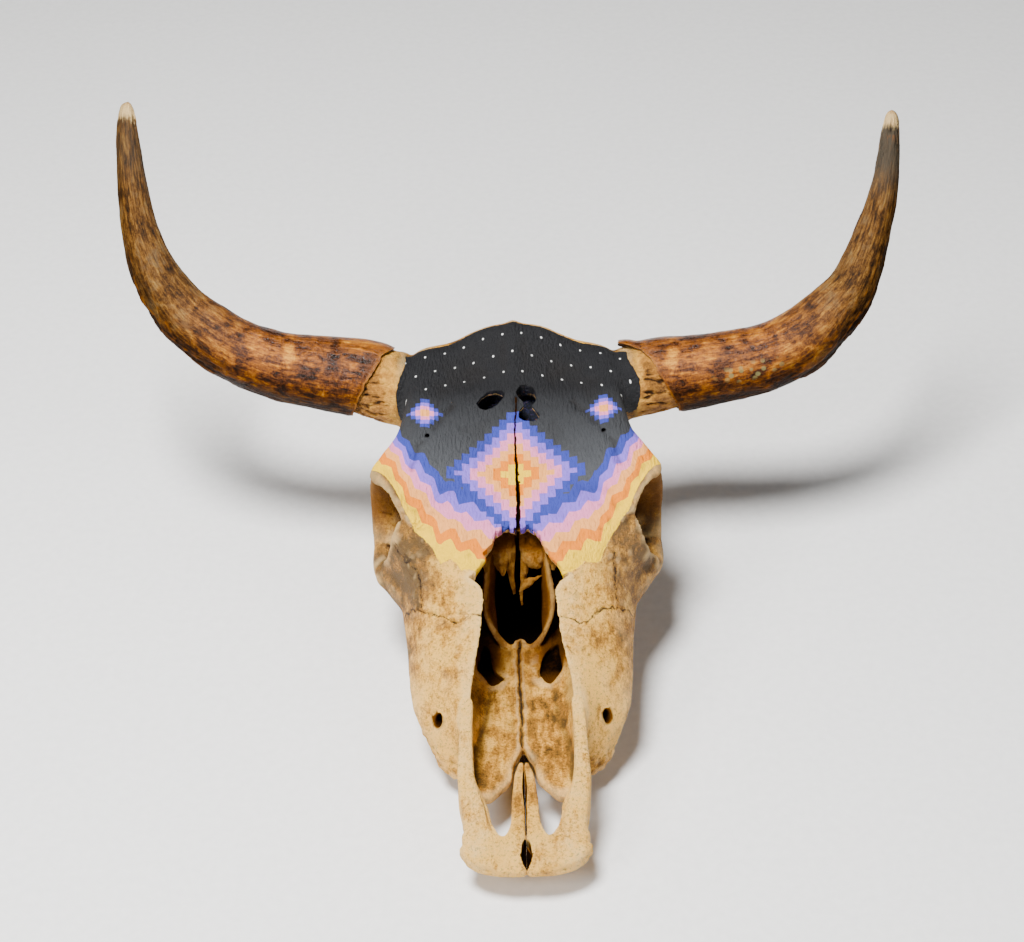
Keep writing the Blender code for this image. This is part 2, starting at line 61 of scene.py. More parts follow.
mm = 0.001
lookDown = np.array((0, 0.766, -0.643))  # 40 degrees below straight back, as one looks into the nose
cheekTeeth = {  # front y, back y, middle x, half width
    "premolar_3": (142, 158.5, 59.5, 7),
    "premolar_4": (159.5, 177, 61.5, 8),
    "molar_1": (178, 203, 63, 9),
    "molar_2": (204, 231.5, 63.5, 9.5),
    "molar_3": (232.5, 263, 63, 9),
}
molarLow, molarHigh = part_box("molar_1_left")  # this tooth says where the skull's zero lies in the frame
molarFront, molarMiddle = cheekTeeth["molar_1"][0], cheekTeeth["molar_1"][2]
frameShift = np.array([(molarLow.x + molarHigh.x) / 2 / mm - molarMiddle, molarLow.y / mm - molarFront, 0])


def inFrame(points):
    return (np.asarray(points, float) + frameShift) * mm


# What a hand does over and over

def deselectAll():
    if bpy.context.object and bpy.context.object.mode != "OBJECT":
        bpy.ops.object.mode_set(mode="OBJECT")
    bpy.ops.object.select_all(action="DESELECT")


def pick(*pieces):
    deselectAll()
    for piece in pieces:
        piece.select_set(True)
    bpy.context.view_layer.objects.active = pieces[0]
    return pieces[0]


def applied(piece, kind, **settings):
    step = piece.modifiers.new(kind.lower(), kind)
    for key, value in settings.items():
        setattr(step, key, value)
    pick(piece)
    bpy.ops.object.modifier_apply(modifier=step.name)
    return piece


def joined(name, pieces):
    first = pick(*pieces)
    if len(pieces) > 1:
        bpy.ops.object.join()
    first.name = name
    return first


def shaded(piece, degrees):  # smooth, but for edges sharper than this
    pick(piece)
    bpy.ops.object.shade_smooth_by_angle(angle=math.radians(degrees))
    return piece


def cutAway(piece, cutter, operation="DIFFERENCE"):
    applied(piece, "BOOLEAN", operation=operation, solver="MANIFOLD", object=cutter)
    bpy.data.objects.remove(cutter)
    return piece


def remeshed(piece, voxel):
    return applied(piece, "REMESH", mode="VOXEL", voxel_size=voxel * mm)


def getPoints(piece, layer="co"):
    flat = np.empty(len(piece.data.vertices) * 3)
    piece.data.vertices.foreach_get(layer, flat)
    return flat.reshape(-1, 3) / mm - frameShift if layer == "co" else flat.reshape(-1, 3)


def getNormals(piece):
    return getPoints(piece, "normal")


def setPoints(piece, points):
    piece.data.vertices.foreach_set("co", inFrame(points).ravel())
    piece.data.update()


def addAttribute(piece, name, values):
    values = np.asarray(values, np.float32)
    kind, field = ("FLOAT", "value") if values.ndim == 1 else ("FLOAT_VECTOR", "vector")
    piece.data.attributes.new(name, kind, "POINT").data.foreach_set(field, values.ravel())


latticeSide = 48  # random values that noise() blends, from -1 to 1
lattice = np.random.RandomState(11).uniform(-1, 1, (latticeSide,) * 3)


def noise(points, size, seed=0):  # changes smoothly over this many millimetres
    spot = np.asarray(points, float) / size + 13.7 * seed + 500
    cell = np.floor(spot).astype(int)
    t = spot - cell
    t = t * t * (3 - 2 * t)
    total = np.zeros(len(spot))
    for corner in np.ndindex(2, 2, 2):
        i, j, k = ((cell + corner) % latticeSide).T
        total += lattice[i, j, k] * np.prod(np.where(corner, t, 1 - t), axis=1)
    return total


def roughness(points, size, octaves=3, seed=0):
    return sum(noise(points, size / 2**i, seed + i) / 2**i for i in range(octaves))


def readOff(rows, values, column=1):  # from a table, straight between its rows
    table = np.array(rows, float)
    return np.interp(values, table[:, 0], table[:, column])


def smoothStep(values, low, high):  # 0 below low, 1 above high
    t = np.clip((values - low) / (high - low), 0, 1)
    return t * t * (3 - 2 * t)


def bump(values, width):  # 1 where the values are 0, fading to both sides
    return np.exp(-((values / width) ** 2))


def pathDistance(spots, path):  # how far each point is from a line of points
    nearest = np.full(len(spots), 1e9)
    corners = np.array(path, float)
    for start, end in zip(corners, corners[1:]):
        run = end - start
        share = np.clip(((spots - start) @ run) / (run @ run), 0, 1)
        nearest = np.minimum(nearest, np.linalg.norm(spots - start - share[:, None] * run, axis=1))
    return nearest


def smoothRow(points, steps):  # an open curve through the points, with this many steps between two
    given = np.array(points, float)
    ends = np.concatenate([[2 * given[0] - given[1]], given, [2 * given[-1] - given[-2]]])
    found = []
    for before, start, end, after in zip(ends, ends[1:], ends[2:], ends[3:]):
        for t in np.arange(steps) / steps:
            bend = 2 * before - 5 * start + 4 * end - after
            twist = 3 * start - before - 3 * end + after
            found.append(0.5 * (2 * start + (end - before) * t + bend * t * t + twist * t**3))
    found.append(given[-1])
    return np.array(found)


def loftedSkin(name, rings, marks=None):
    # a grid is bent round into a tube, its seam is welded and its two ends are filled
    rings = np.asarray(rings, float)
    rows, count = rings.shape[:2]
    deselectAll()
    bpy.ops.mesh.primitive_grid_add(x_subdivisions=count, y_subdivisions=rows - 1, size=2)
    piece = bpy.context.object
    piece.name = name
    flat = np.empty(len(piece.data.vertices) * 3)
    piece.data.vertices.foreach_get("co", flat)
    across = np.rint((flat[0::3] + 1) / 2 * count).astype(int) % count
    along = np.rint((flat[1::3] + 1) / 2 * (rows - 1)).astype(int)
    setPoints(piece, rings[along, across])
    for mark, values in (marks or {}).items():
        addAttribute(piece, mark, values[along, across])
    bpy.ops.object.mode_set(mode="EDIT")
    bpy.ops.mesh.select_all(action="SELECT")
    bpy.ops.mesh.remove_doubles(threshold=1e-6)
    bpy.ops.mesh.fill_holes(sides=0)
    bpy.ops.mesh.select_all(action="SELECT")
    bpy.ops.mesh.normals_make_consistent(inside=False)
    bpy.ops.object.mode_set(mode="OBJECT")
    return piece


def mirroredLoft(name, stations, along=4, around=4):  # half outlines (x, z) at each y, from top to bottom
    outlines = [[(x, y, z) for x, z in outline] for y, outline in stations]
    rings = []
    for outline in smoothRow(outlines, along):
        half = smoothRow(outline, around)
        half[0][0] = half[-1][0] = 0
        rings.append(np.concatenate([half, half[-2:0:-1] * (-1, 1, 1)]))
    return loftedSkin(name, rings)


def roundedBox(x0, x1, z0, z1, corner=0.3, steps=4):
    cut = corner * min(x1 - x0, z1 - z0)
    middle = np.array([(x0 + x1) / 2, (z0 + z1) / 2])
    half = np.array([(x1 - x0) / 2, (z1 - z0) / 2]) - cut
    ring = []
    for quarter, sign in enumerate([(1, -1), (1, 1), (-1, 1), (-1, -1)]):
        for step in range(steps):
            angle = math.radians(90 * (quarter - 1 + step / (steps - 1)))
            ring.append(middle + half * sign + cut * np.array([math.cos(angle), math.sin(angle)]))
    return ring


def slab(name, stations, along=4, corner=0.3):  # rounded boxes: y, low x, high x, low z, high z
    rings = []
    for y, x0, x1, z0, z1 in smoothRow(stations, along):
        rings.append([(x, y, z) for x, z in roundedBox(x0, x1, z0, z1, corner)])
    return loftedSkin(name, rings)


def axisRings(points, normal, sides):  # ellipses round a path: x, y, z, radius across the normal, along it
    turn = 2 * np.pi * np.arange(sides) / sides
    rings = []
    for i, point in enumerate(points):
        run = (points[min(i + 1, len(points) - 1)] - points[max(i - 1, 0)])[:3]
        run = run / np.linalg.norm(run)
        across = np.cross(run, normal)
        across /= np.linalg.norm(across)
        up = np.cross(across, run)
        rings.append(point[:3] + np.outer(np.cos(turn), across) * point[3] + np.outer(np.sin(turn), up) * point[4])
    return np.array(rings)


def tube(name, path, normal=(0, 0, 1), sides=24, steps=6):
    return loftedSkin(name, axisRings(smoothRow(path, steps), normal, sides))


def bothSides(path):
    return [path, [(-x, *rest) for x, *rest in path]]


def ball(name, centre, radii):
    deselectAll()
    bpy.ops.mesh.primitive_ico_sphere_add(subdivisions=5, radius=1)
    piece = bpy.context.object
    piece.name = name
    unit = (getPoints(piece) + frameShift) * mm
    setPoints(piece, unit * radii + centre)
    return piece


def raggedColumn(name, outline, low, high, jag=0.7, step=1.6, seed=0):
    # an upright column whose outline has the small bites of broken bone
    loop = smoothRow([*outline, outline[0]], 6)[:, :2]
    length = np.concatenate([[0], np.cumsum(np.linalg.norm(np.diff(loop, axis=0), axis=1))])
    places = np.linspace(0, length[-1], max(8, int(length[-1] / step)), endpoint=False)
    ring = np.stack([np.interp(places, length, loop[:, i]) for i in (0, 1)], axis=1)
    out = ring - ring.mean(axis=0)
    out /= np.linalg.norm(out, axis=1)[:, None]
    spots = np.concatenate([ring, np.zeros((len(ring), 1))], axis=1)
    ring = ring + out * (jag * roughness(spots, 5, 3, seed))[:, None]
    rings = [[(x, y, z) for x, y in ring] for z in np.linspace(low, high, 4)]
    return loftedSkin(name, rings)


# The skull: every bone that has grown together, with both horn cores

skullShape = {
    "outerVoxel": 1.5, "innerVoxel": 1.35, "blending": 14, "smoothing": 4, "triangles": 192000,
    "face": [  # y, half outline (x, z) from the top of the midline to the middle of the underside
        (109, [(0, 80), (38, 88), (50, 84), (51, 70), (53, 56), (55, 40), (58, 24), (49, 22), (40, 34), (0, 36)]),
        (120, [(0, 88), (40, 93), (51, 88), (57, 74), (65, 58), (70, 42), (69, 24), (49, 22), (42, 34), (0, 36)]),
        (134, [(0, 98), (37, 101), (51, 96), (64, 80), (80, 57), (78, 40), (72, 24), (50, 22), (44, 34), (0, 36)]),
        (152, [(0, 108), (33, 110), (52, 104), (74, 87), (90, 66), (84, 45), (74, 24), (51, 22), (44, 34), (0, 36)]),
        (180, [(0, 122), (30, 123), (54, 116), (79, 97), (93, 72), (87, 47), (75, 24), (52, 22), (44, 35), (0, 37)]),
        (210, [(0, 136), (28, 137), (56, 131), (82, 112), (95, 79), (89, 52), (76, 24), (52, 22), (44, 36), (0, 38)]),
        (235, [(0, 150), (36, 151), (60, 146), (86, 127), (98, 86), (91, 58), (76, 25), (52, 24), (42, 38), (0, 40)]),
        (256, [(0, 157), (44, 158), (70, 155), (97, 141), (103, 98),
               (92, 64), (76, 28), (54, 27), (40, 41), (0, 45)]),
        (270, [(0, 161), (48, 162), (78, 160), (107, 151), (112, 107),
               (92, 70), (72, 38), (53, 34), (38, 48), (0, 52)]),
        (281, [(0, 164), (50, 164), (80, 164), (108, 158), (116, 108),
               (90, 80), (64, 52), (48, 48), (36, 58), (0, 62)]),
    ],
    "frontal": [
        (228, [(0, 146), (20, 148), (36, 149), (46, 146), (44, 138), (30, 134), (0, 130)]),
        (250, [(0, 155), (30, 156), (56, 156), (74, 151), (72, 142), (40, 136), (0, 132)]),
        (275, [(0, 163), (35, 165), (66, 166), (92, 164), (91, 154), (50, 146), (0, 142)]),
        (296, [(0, 170), (40, 172), (75, 174), (106, 177), (105, 167), (60, 154), (0, 148)]),
        (318, [(0, 177), (42, 180), (82, 185), (121, 178), (119, 170), (70, 160), (0, 150)]),
        (338, [(0, 183), (42, 186), (80, 190), (112, 184), (108, 170), (66, 158), (0, 150)]),
        (360, [(0, 190), (40, 192), (70, 193), (99, 189), (96, 164), (66, 156), (0, 150)]),
        (388, [(0, 199), (36, 200), (64, 198), (93, 196), (90, 160), (66, 150), (0, 150)]),
        (415, [(0, 207), (34, 205), (62, 203), (92, 205), (92, 158), (66, 148), (0, 150)]),
        (438, [(0, 217), (30, 214), (58, 210), (90, 209), (90, 158), (60, 145), (0, 145)]),
        (456, [(0, 226), (26, 223), (54, 211), (80, 200), (78, 156), (56, 138), (0, 138)]),
        (468, [(0, 223), (24, 219), (48, 204), (68, 184), (64, 155), (46, 138), (0, 138)]),
    ],
    "muzzleWall": [  # y, outer x, inner x, top z, bottom z
        (20, 49.5, 20, 46, 30), (36, 49, 28, 53, 29), (52, 51, 33, 61, 28), (70, 53, 39, 70, 28),
        (90, 52, 40.5, 79, 27), (112, 51, 40.5, 89, 24), (130, 50, 38, 98, 24), (146, 50, 33, 106, 30),
    ],
    "palateShelf": [  # y, inner x, outer x
        (68, 27, 42), (75, 20, 43), (87, 11, 43), (100, 9, 43), (108, 6.8, 43), (114, 4, 43), (119, 1.6, 43),
        (123, 0, 43), (130, 0, 43),
    ],
    "palateHeight": (37, 46),
    "cheekbone": [  # tubes: x, y, z, radius across, radius along the normal
        (90, 248, 96, 12, 18), (105, 268, 97, 10, 13), (114, 290, 96, 11, 10), (118, 318, 104, 6, 10),
        (113, 346, 109, 5, 9), (99, 372, 108, 5, 9), (82, 394, 104, 9, 9), (60, 404, 104, 9, 10),
    ],
    "orbitBar": [
        (105, 326, 176, 6, 16), (110.5, 328, 152, 5.5, 15.5), (111, 325, 128, 5.5, 15), (109, 308, 106, 8, 16),
    ],
    "orbitCut": [
        (150, 279, 150, 42, 44), (121, 292, 143, 29, 36), (98, 301, 138, 27, 32),
        (68, 314, 128, 19, 21), (48, 326, 122, 9, 10),
    ],
    "browRidge": [(84, 270, 160, 6, 5), (101, 288, 172, 5, 4), (112, 307, 177, 5, 4), (117, 321, 177, 5, 4)],
    "braincase": [((0, 400, 132), (66, 74, 60)), ((0, 322, 118), (43, 78, 44)), ((0, 438, 152), (84, 24, 56))],
    "pairedMasses": [
        ((72, 410, 112), (20, 24, 20)), ((62, 436, 112), (20, 17, 28)),
        ((42, 402, 68), (12, 18, 18)), ((27, 456, 84), (16, 16, 25)),
    ],
    "base": [
        (0, 312, 88, 14, 12), (0, 350, 78, 16, 12), (0, 390, 74, 22, 12), (0, 430, 74, 28, 13), (0, 452, 80, 24, 14),
    ],
    "jugular": [  # the two processes that the back of the skull stands on
        (54, 438, 104, 15, 12), (51, 438, 70, 12, 9), (47, 434, 36, 9, 7), (44, 429, 10, 7, 6), (43, 427, -4, 6, 6),
    ],
    "earTube": [(52, 404, 104, 9, 9), (74, 414, 108, 7, 7), (84, 418, 112, 5, 5)],
    "spinalHole": [(0, 490, 96, 20, 17), (0, 462, 97, 18, 16), (0, 430, 100, 15, 15), (0, 412, 102, 8, 8)],
    "nasalCavity": [
        (60, [(0, 120), (26, 110), (29, 70), (29, 50), (0, 46)]),
        (100, [(0, 130), (38, 120), (38, 66), (32, 49), (0, 45)]),
        (140, [(0, 130), (36, 112), (42, 76), (34, 50), (0, 46)]),
        (180, [(0, 134), (32, 122), (48, 84), (36, 51), (0, 47)]),
        (220, [(0, 142), (38, 134), (50, 90), (36, 54), (0, 48)]),
        (256, [(0, 149), (40, 144), (50, 96), (34, 56), (0, 52)]),
        (296, [(0, 154), (34, 148), (38, 112), (27, 78), (0, 72)]),
        (326, [(0, 146), (20, 140), (24, 118), (18, 98), (0, 92)]),
    ],
    "aperture": [  # half outline (x, y) of the cavity's open top
        (19, 18), (23, 24), (28, 36), (33, 51), (38.5, 70), (41, 89), (41, 112), (38, 129), (33, 152), (30, 172),
        (29, 190), (27.5, 205), (32, 216), (37, 224), (27, 236), (21, 250),
    ],
    "brokenEnd": [  # ragged front edge of the nasal bones, from the skull's left to its right
        (17, 259), (14.5, 263.5), (12, 260.5), (10, 266), (7, 267), (5, 262.5), (3, 265.5), (1.5, 257.5), (-0.5, 257),
        (-2.5, 265), (-5, 261.5), (-7, 266.5), (-10, 263), (-12, 265.5), (-15, 259), (-17.5, 260.5),
    ],
    "choana": [(238, 9), (246, 16), (262, 19), (300, 18), (326, 15)], "choanaHeight": (10, 66),
    "palateRecess": [(24, 197, 62, 7, 18), (27, 210, 61, 9, 19), (30, 232, 62, 8, 19), (31, 248, 64, 6, 16)],
    "pterygoid": [  # y, centre x, half thickness, bottom z, top z
        (241, 19, 2.2, 38, 44), (247, 20.5, 2.2, 37, 56), (253, 21.5, 2.0, 35, 76), (262, 22.5, 1.8, 31, 98),
        (276, 23, 1.8, 24, 108), (300, 23, 1.8, 15, 104), (322, 20.5, 2.2, 10, 98), (334, 18.5, 2.6, 13, 90),
    ],
    "shadeSheet": [  # a near-black sheet that closes the throat behind the palate, painted shade where one would look through to the table: y, half width, low z, high z
        (252, 19, 32, 36), (262, 21, 26, 30), (280, 22, 20, 24), (300, 21.5, 17, 21), (316, 20, 18, 24),
        (324, 19, 24, 36), (330, 18, 40, 62), (334, 17, 62, 82),
    ],
    "lip": [  # rim of the palate's back edge and of the two walls of the throat
        (-25.5, 266, 140, 1.6, 2.2), (-27.4, 256, 118, 1.8, 2.2), (-29, 250, 96, 1.8, 2.2), (-28.6, 246, 78, 2, 2.4),
        (-24, 243, 64, 2.4, 2.6), (-17.5, 240, 53, 3, 3), (-11, 236.5, 46.5, 3.6, 3.4), (-5, 237, 46.5, 3.4, 3.2),
        (0, 240.5, 48.5, 3.2, 3), (5, 237, 46.5, 3.4, 3.2), (11, 236.5, 46.5, 3.6, 3.4), (17.5, 240, 53, 3, 3),
        (23.4, 243, 64, 2.4, 2.6), (27.4, 246, 78, 2, 2.4), (28, 250, 96, 1.8, 2.2), (25, 256, 118, 1.8, 2.2),
        (23, 266, 140, 1.6, 2.2),
    ],
    "throatSlope": [(0, 0), (4, 3.2), (9, 6.4), (16, 8.6), (26, 10), (38, 10.8)],  # depth behind the rim, way inwards
    "throatFoot": 19,
    "sideWall": [(37, 256, 68, 9, 12), (37, 280, 78, 11, 15), (34, 305, 88, 11, 15), (28, 330, 98, 10, 14)],
    "infraorbital": [(80, 116, 76, 3.6, 6.6), (64, 138, 66, 3.4, 6), (50, 156, 60, 2.6, 4)],
    "palateNotch": [(94, 10), (104, 7.8), (110, 6), (115, 3.8), (119, 2), (122, 0.8)],  # y, half width
    "sutureLow": (46, 26), "sutureHigh": (132, 100),  # y, z where the incisive bone's suture meets the muzzle
    "emptySocket": (127, 139, 58, 5, 30),
    "coreRoot": [(52, 424, 172, 32, 31), (74, 426, 176, 33, 32), (92, 428, 179, 34, 32), (103, 429, 181, 29, 27)],
}

hornAxis = {  # x, y, z, core radius (0 past the core), horn radius (0 before its rim)
    "left": [
        (84, 428, 179, 25, 0), (99, 429, 181, 31.5, 0), (113, 430, 183, 31.5, 0), (131, 432, 186, 31, 34.5),
        (152, 432, 188.5, 28, 33.5), (184, 432, 193.5, 23.5, 31.5), (220, 434, 200.5, 18, 30.5),
        (252, 440, 213.5, 9, 29), (280, 452, 235, 0, 25.2), (301, 466, 258, 0, 20.6), (318, 490, 297, 0, 15.4),
        (328.5, 512, 336, 0, 11.2), (332, 532, 372, 0, 7.6), (333, 539, 386, 0, 4),
    ],
    "right": [
        (-84, 428, 179, 25, 0), (-99, 429, 181, 32, 0), (-113, 431, 184, 32, 0), (-132, 434, 190, 31.5, 35.5),
        (-170, 436, 196.5, 27, 32.6), (-205, 438, 203.5, 22, 30), (-241, 444, 216, 16, 28.6),
        (-266, 451, 231, 7, 27.5), (-289, 462, 248, 0, 25), (-311, 481, 278, 0, 20.4), (-323, 504, 315, 0, 15.4),
        (-328, 533, 365, 0, 11), (-328, 550, 395, 0, 7), (-326, 555, 405, 0, 3.6),
    ],
}


def hornCore(side):
    rows = [(x, y, z, core, core) for x, y, z, core, _ in hornAxis[side] if core]
    return loftedSkin("horn core", axisRings(smoothRow(rows, 6), lookDown, 48))


def muzzleWalls():
    walls = []
    for side in (1, -1):
        rows = []
        for y, outer, inner, top, bottom in skullShape["muzzleWall"]:
            low, high = sorted((side * inner, side * outer))
            rows.append((y, low, high, bottom, top))
        walls.append(slab("muzzle wall", rows))
    return walls


def beyondSuture(side, above, gap):
    # a block past the slanting suture of the incisive bone, above it or below it
    (y0, z0), (y1, z1) = skullShape["sutureLow"], skullShape["sutureHigh"]
    run = np.array([0, y1 - y0, z1 - z0]) / math.hypot(y1 - y0, z1 - z0)
    away = np.array([0, -run[2], run[1]]) * (1 if above else -1)
    near = np.array([side * 17, y0, z0]) - run * 80 - away * gap
    width, depth = np.array([side * 60, 0, 0]), away * 140
    rings = [[start, start + width, start + width + depth, start + depth] for start in (near, near + run * 300)]
    return loftedSkin("beyond suture", rings)


def skullMasses():
    s = skullShape
    masses = [mirroredLoft("face", s["face"]), mirroredLoft("frontal", s["frontal"]), *muzzleWalls()]
    masses += [ball("braincase", centre, radii) for centre, radii in s["braincase"]]
    masses.append(tube("base", s["base"]))
    for (x, y, z), radii in s["pairedMasses"]:
        masses += [ball("paired mass", (side * x, y, z), radii) for side in (1, -1)]
    for path in (s["cheekbone"], s["earTube"], s["browRidge"], s["coreRoot"]):
        masses += [tube("paired bone", one) for one in bothSides(path)]
    masses += [tube("jugular process", one, normal=(0, 1, 0)) for one in bothSides(s["jugular"])]
    body = remeshed(joined("skull", masses), s["outerVoxel"])
    applied(body, "SMOOTH", factor=0.5, iterations=s["blending"])
    return body


def skullHollows():
    s = skullShape
    hollows = [mirroredLoft("nasal cavity", s["nasalCavity"]), tube("spinal hole", s["spinalHole"])]
    outline = s["aperture"] + s["brokenEnd"] + [(-x, y) for x, y in reversed(s["aperture"])]
    hollows.append(raggedColumn("aperture", outline, s["palateHeight"][1], 260, jag=1.1, step=1.3, seed=3))
    hollows += [tube("orbit", one, sides=36) for one in bothSides(s["orbitCut"])]
    return remeshed(joined("hollows", hollows), s["innerVoxel"])


def innerBones():
    s = skullShape
    bones = []
    for side in (1, -1):
        plate = [(y, side * x - half, side * x + half, low, high) for y, x, half, low, high in s["pterygoid"]]
        bones.append(slab("pterygoid", plate))
        shelf = [(y, *sorted((side * inner, side * outer)), *s["palateHeight"])
                 for y, inner, outer in s["palateShelf"]]
        bones.append(slab("palate shelf", shelf))
    bones += [tube("orbit bar", one, normal=(1, 0, 0)) for one in bothSides(s["orbitBar"])]
    bones += [tube("side wall", one) for one in bothSides(s["sideWall"])]
    bones += [hornCore("left"), hornCore("right")]
    return bones


def throatWalls():
    # a rim, and behind it two walls that slope inwards and downwards to the throat
    s = skullShape
    parts = [tube("lip", s["lip"], normal=(0, 1, 0))]
    depth, inward = np.array(s["throatSlope"], float).T
    for side in (1, -1):
        rings = []
        for x, y, z, _, _ in smoothRow([spot for spot in s["lip"] if spot[0] * side > 15][::side], 5):
            reach = np.maximum(abs(x) - inward, np.minimum(abs(x), s["throatFoot"]))
            inner = np.stack([side * reach, y + lookDown[1] * depth, z + lookDown[2] * depth], axis=1)
            rings.append(np.concatenate([inner, (inner + (side * 3.2, 0, 0))[::-1]]))
        parts.append(loftedSkin("throat wall", rings))
    return parts


def skullHoles():
    s = skullShape
    holes = [tube("recess", one) for one in bothSides(s["palateRecess"])]
    holes += [tube("infraorbital", one) for one in bothSides(s["infraorbital"])]
    holes.append(slab("notch", [(y, -half, half, 26, 60) for y, half in s["palateNotch"]]))
    holes.append(slab("choana", [(y, -half, half, *s["choanaHeight"]) for y, half in s["choana"]]))
    return remeshed(joined("holes", holes), s["innerVoxel"])


# Breaks, sutures and relief of the skull

skullMarks = {
    "crack": [  # gap between the two frontal bones: y, x, full width
        (404, 1.7, 0.3), (382, 1.6, 0.6), (367, 0.6, 0.8), (348, 0.0, 0.9), (328, 0.4, 1.3), (309, 0.8, 2.0),
        (290, 1.1, 2.6), (275, 0.8, 3.4), (262, 0.4, 5.0), (240, 0.2, 6.0),
    ],
    "crackDepth": 9,
    "sinusHoles": [  # broken openings over the frontal sinus, outlines in x, y
        [(-32, 384), (-27, 392), (-19, 397.5), (-9.5, 397), (-9, 391), (-14, 384), (-20, 379.5), (-28, 379)],
        [(1.5, 396), (6, 402.5), (13, 402), (18.5, 396), (19.5, 386), (16, 380), (21.5, 372.5),
         (18, 366.5), (9.5, 366), (4, 371), (5, 377), (8.5, 382), (4.5, 389)],
    ],
    "sinusHollows": [((-20, 389, 186), (19, 15, 11)), ((11, 385, 184), (15, 22, 11))],
    "foramina": [  # supraorbital holes: x, y, z, half width, half length
        (-75, 352, 190), (76, 353, 190),
    ],
    "grooves": [  # of the frontal veins, over the brows: x, y
        [(-53, 383), (-66, 364), (-75, 351), (-83, 338), (-88, 318)],
        [(52, 385), (66, 366), (76, 352), (84, 338), (88, 318)],
    ],
    "sutures": [  # x, y seen from above
        [(-104, 262), (-88.8, 247.3), (-82.2, 237.5), (-81.9, 217.9)],
        [(-100, 236), (-96.8, 231.9), (-84, 216), (-74.2, 208), (-62, 199), (-51.7, 191.3), (-40, 195), (-29, 193)],
        [(80, 246), (80, 232.9), (81, 217.2)],
        [(100, 228), (92, 222), (83.4, 214.3), (66.2, 202.7), (49.9, 186.5), (41, 190.5), (28, 190.4)],
        [(28, 163), (38, 166), (44, 160)],
        [(-28, 172), (-36, 168)],
    ],
    "knobs": [  # lumps of the eye socket's rim: x, y, z, width, height
        (-103, 320, 127, 6, 2.4), (-106, 306, 115, 6, 2.6), (-111, 297, 108, 5, -2), (-118, 287, 104, 6, 2.2),
        (-118, 273, 97, 7, 2), (-100, 266, 148, 5, 1.6), (-90, 271, 165, 4, 1.4), (104, 314, 121, 6, 2.2),
        (106, 263, 125, 6, 2.4), (117, 279, 105, 6, 2.2), (97, 276, 165, 4, 1.6), (90, 247, 136, 5, -1.4),
    ],
    "orbitCracks": [
        [(-124, 318, 137), (-116, 321, 131), (-108, 320, 130)], [(124, 318, 141), (116, 320, 139), (109, 320, 136)],
    ],
    "palateHoles": [  # broken openings into the hollow palate, beside the hole to the throat: outlines in x, y
        [(-31.5, 242), (-34.5, 230), (-37, 207), (-31, 198), (-25, 193), (-19, 195.5), (-14.5, 201),
         (-20, 206.5), (-25, 220), (-27, 238)],
        [(32.5, 242), (33.5, 232), (35, 207), (32, 200.5), (24.5, 193.5), (20, 196), (15.5, 204.5), (18, 222),
         (25, 236)],
    ],
    "palateHoleDepth": (40.5, 60),
    "throatRim": [(46, 16), (53, 19), (64, 25), (78, 29.5), (96, 30), (118, 27.5), (140, 25.5)],  # z, half width
    "throatFront": [(46, 237), (53, 241), (64, 244), (78, 247), (96, 251), (118, 257), (140, 267)],  # z, y
    "palateCrack": [(-0.5, 240), (-1.5, 230), (-1.9, 210.5), (-0.9, 175), (-0.6, 152), (-1.2, 124), (-1, 116)],
    "swellings": [  # on each half of the forehead, dents below 0: height, x, width, y, length
        (-3.6, 38, 19, 422, 26), (2.0, 84, 15, 372, 26), (-1.6, 30, 20, 345, 30),
    ],
    "palateCrackWidth": [  # y, width
        (112, 0.5), (126, 0.8), (148, 0.6), (166, 1.3), (184, 1.5), (200, 0.6), (214, 0.8), (226, 1.7), (240, 2.2),
    ],
}


def wander(p):  # small sideways shifts that make a drawn line ragged
    return np.stack([roughness(p, 5, 2, 21), roughness(p, 5, 2, 31)], axis=1) * 1.5


def frontalHeight(y):  # of the sloping forehead, near the middle
    return 148 + 0.37 * (y - 228)


def coreZone(p):  # 1 on the bare horn cores, 0 on the rest
    reach = np.where(p[:, 0] < 0, -p[:, 0] - 101, p[:, 0] - 107)
    return smoothStep(reach, -3, 4) * smoothStep(p[:, 1], 385, 396)


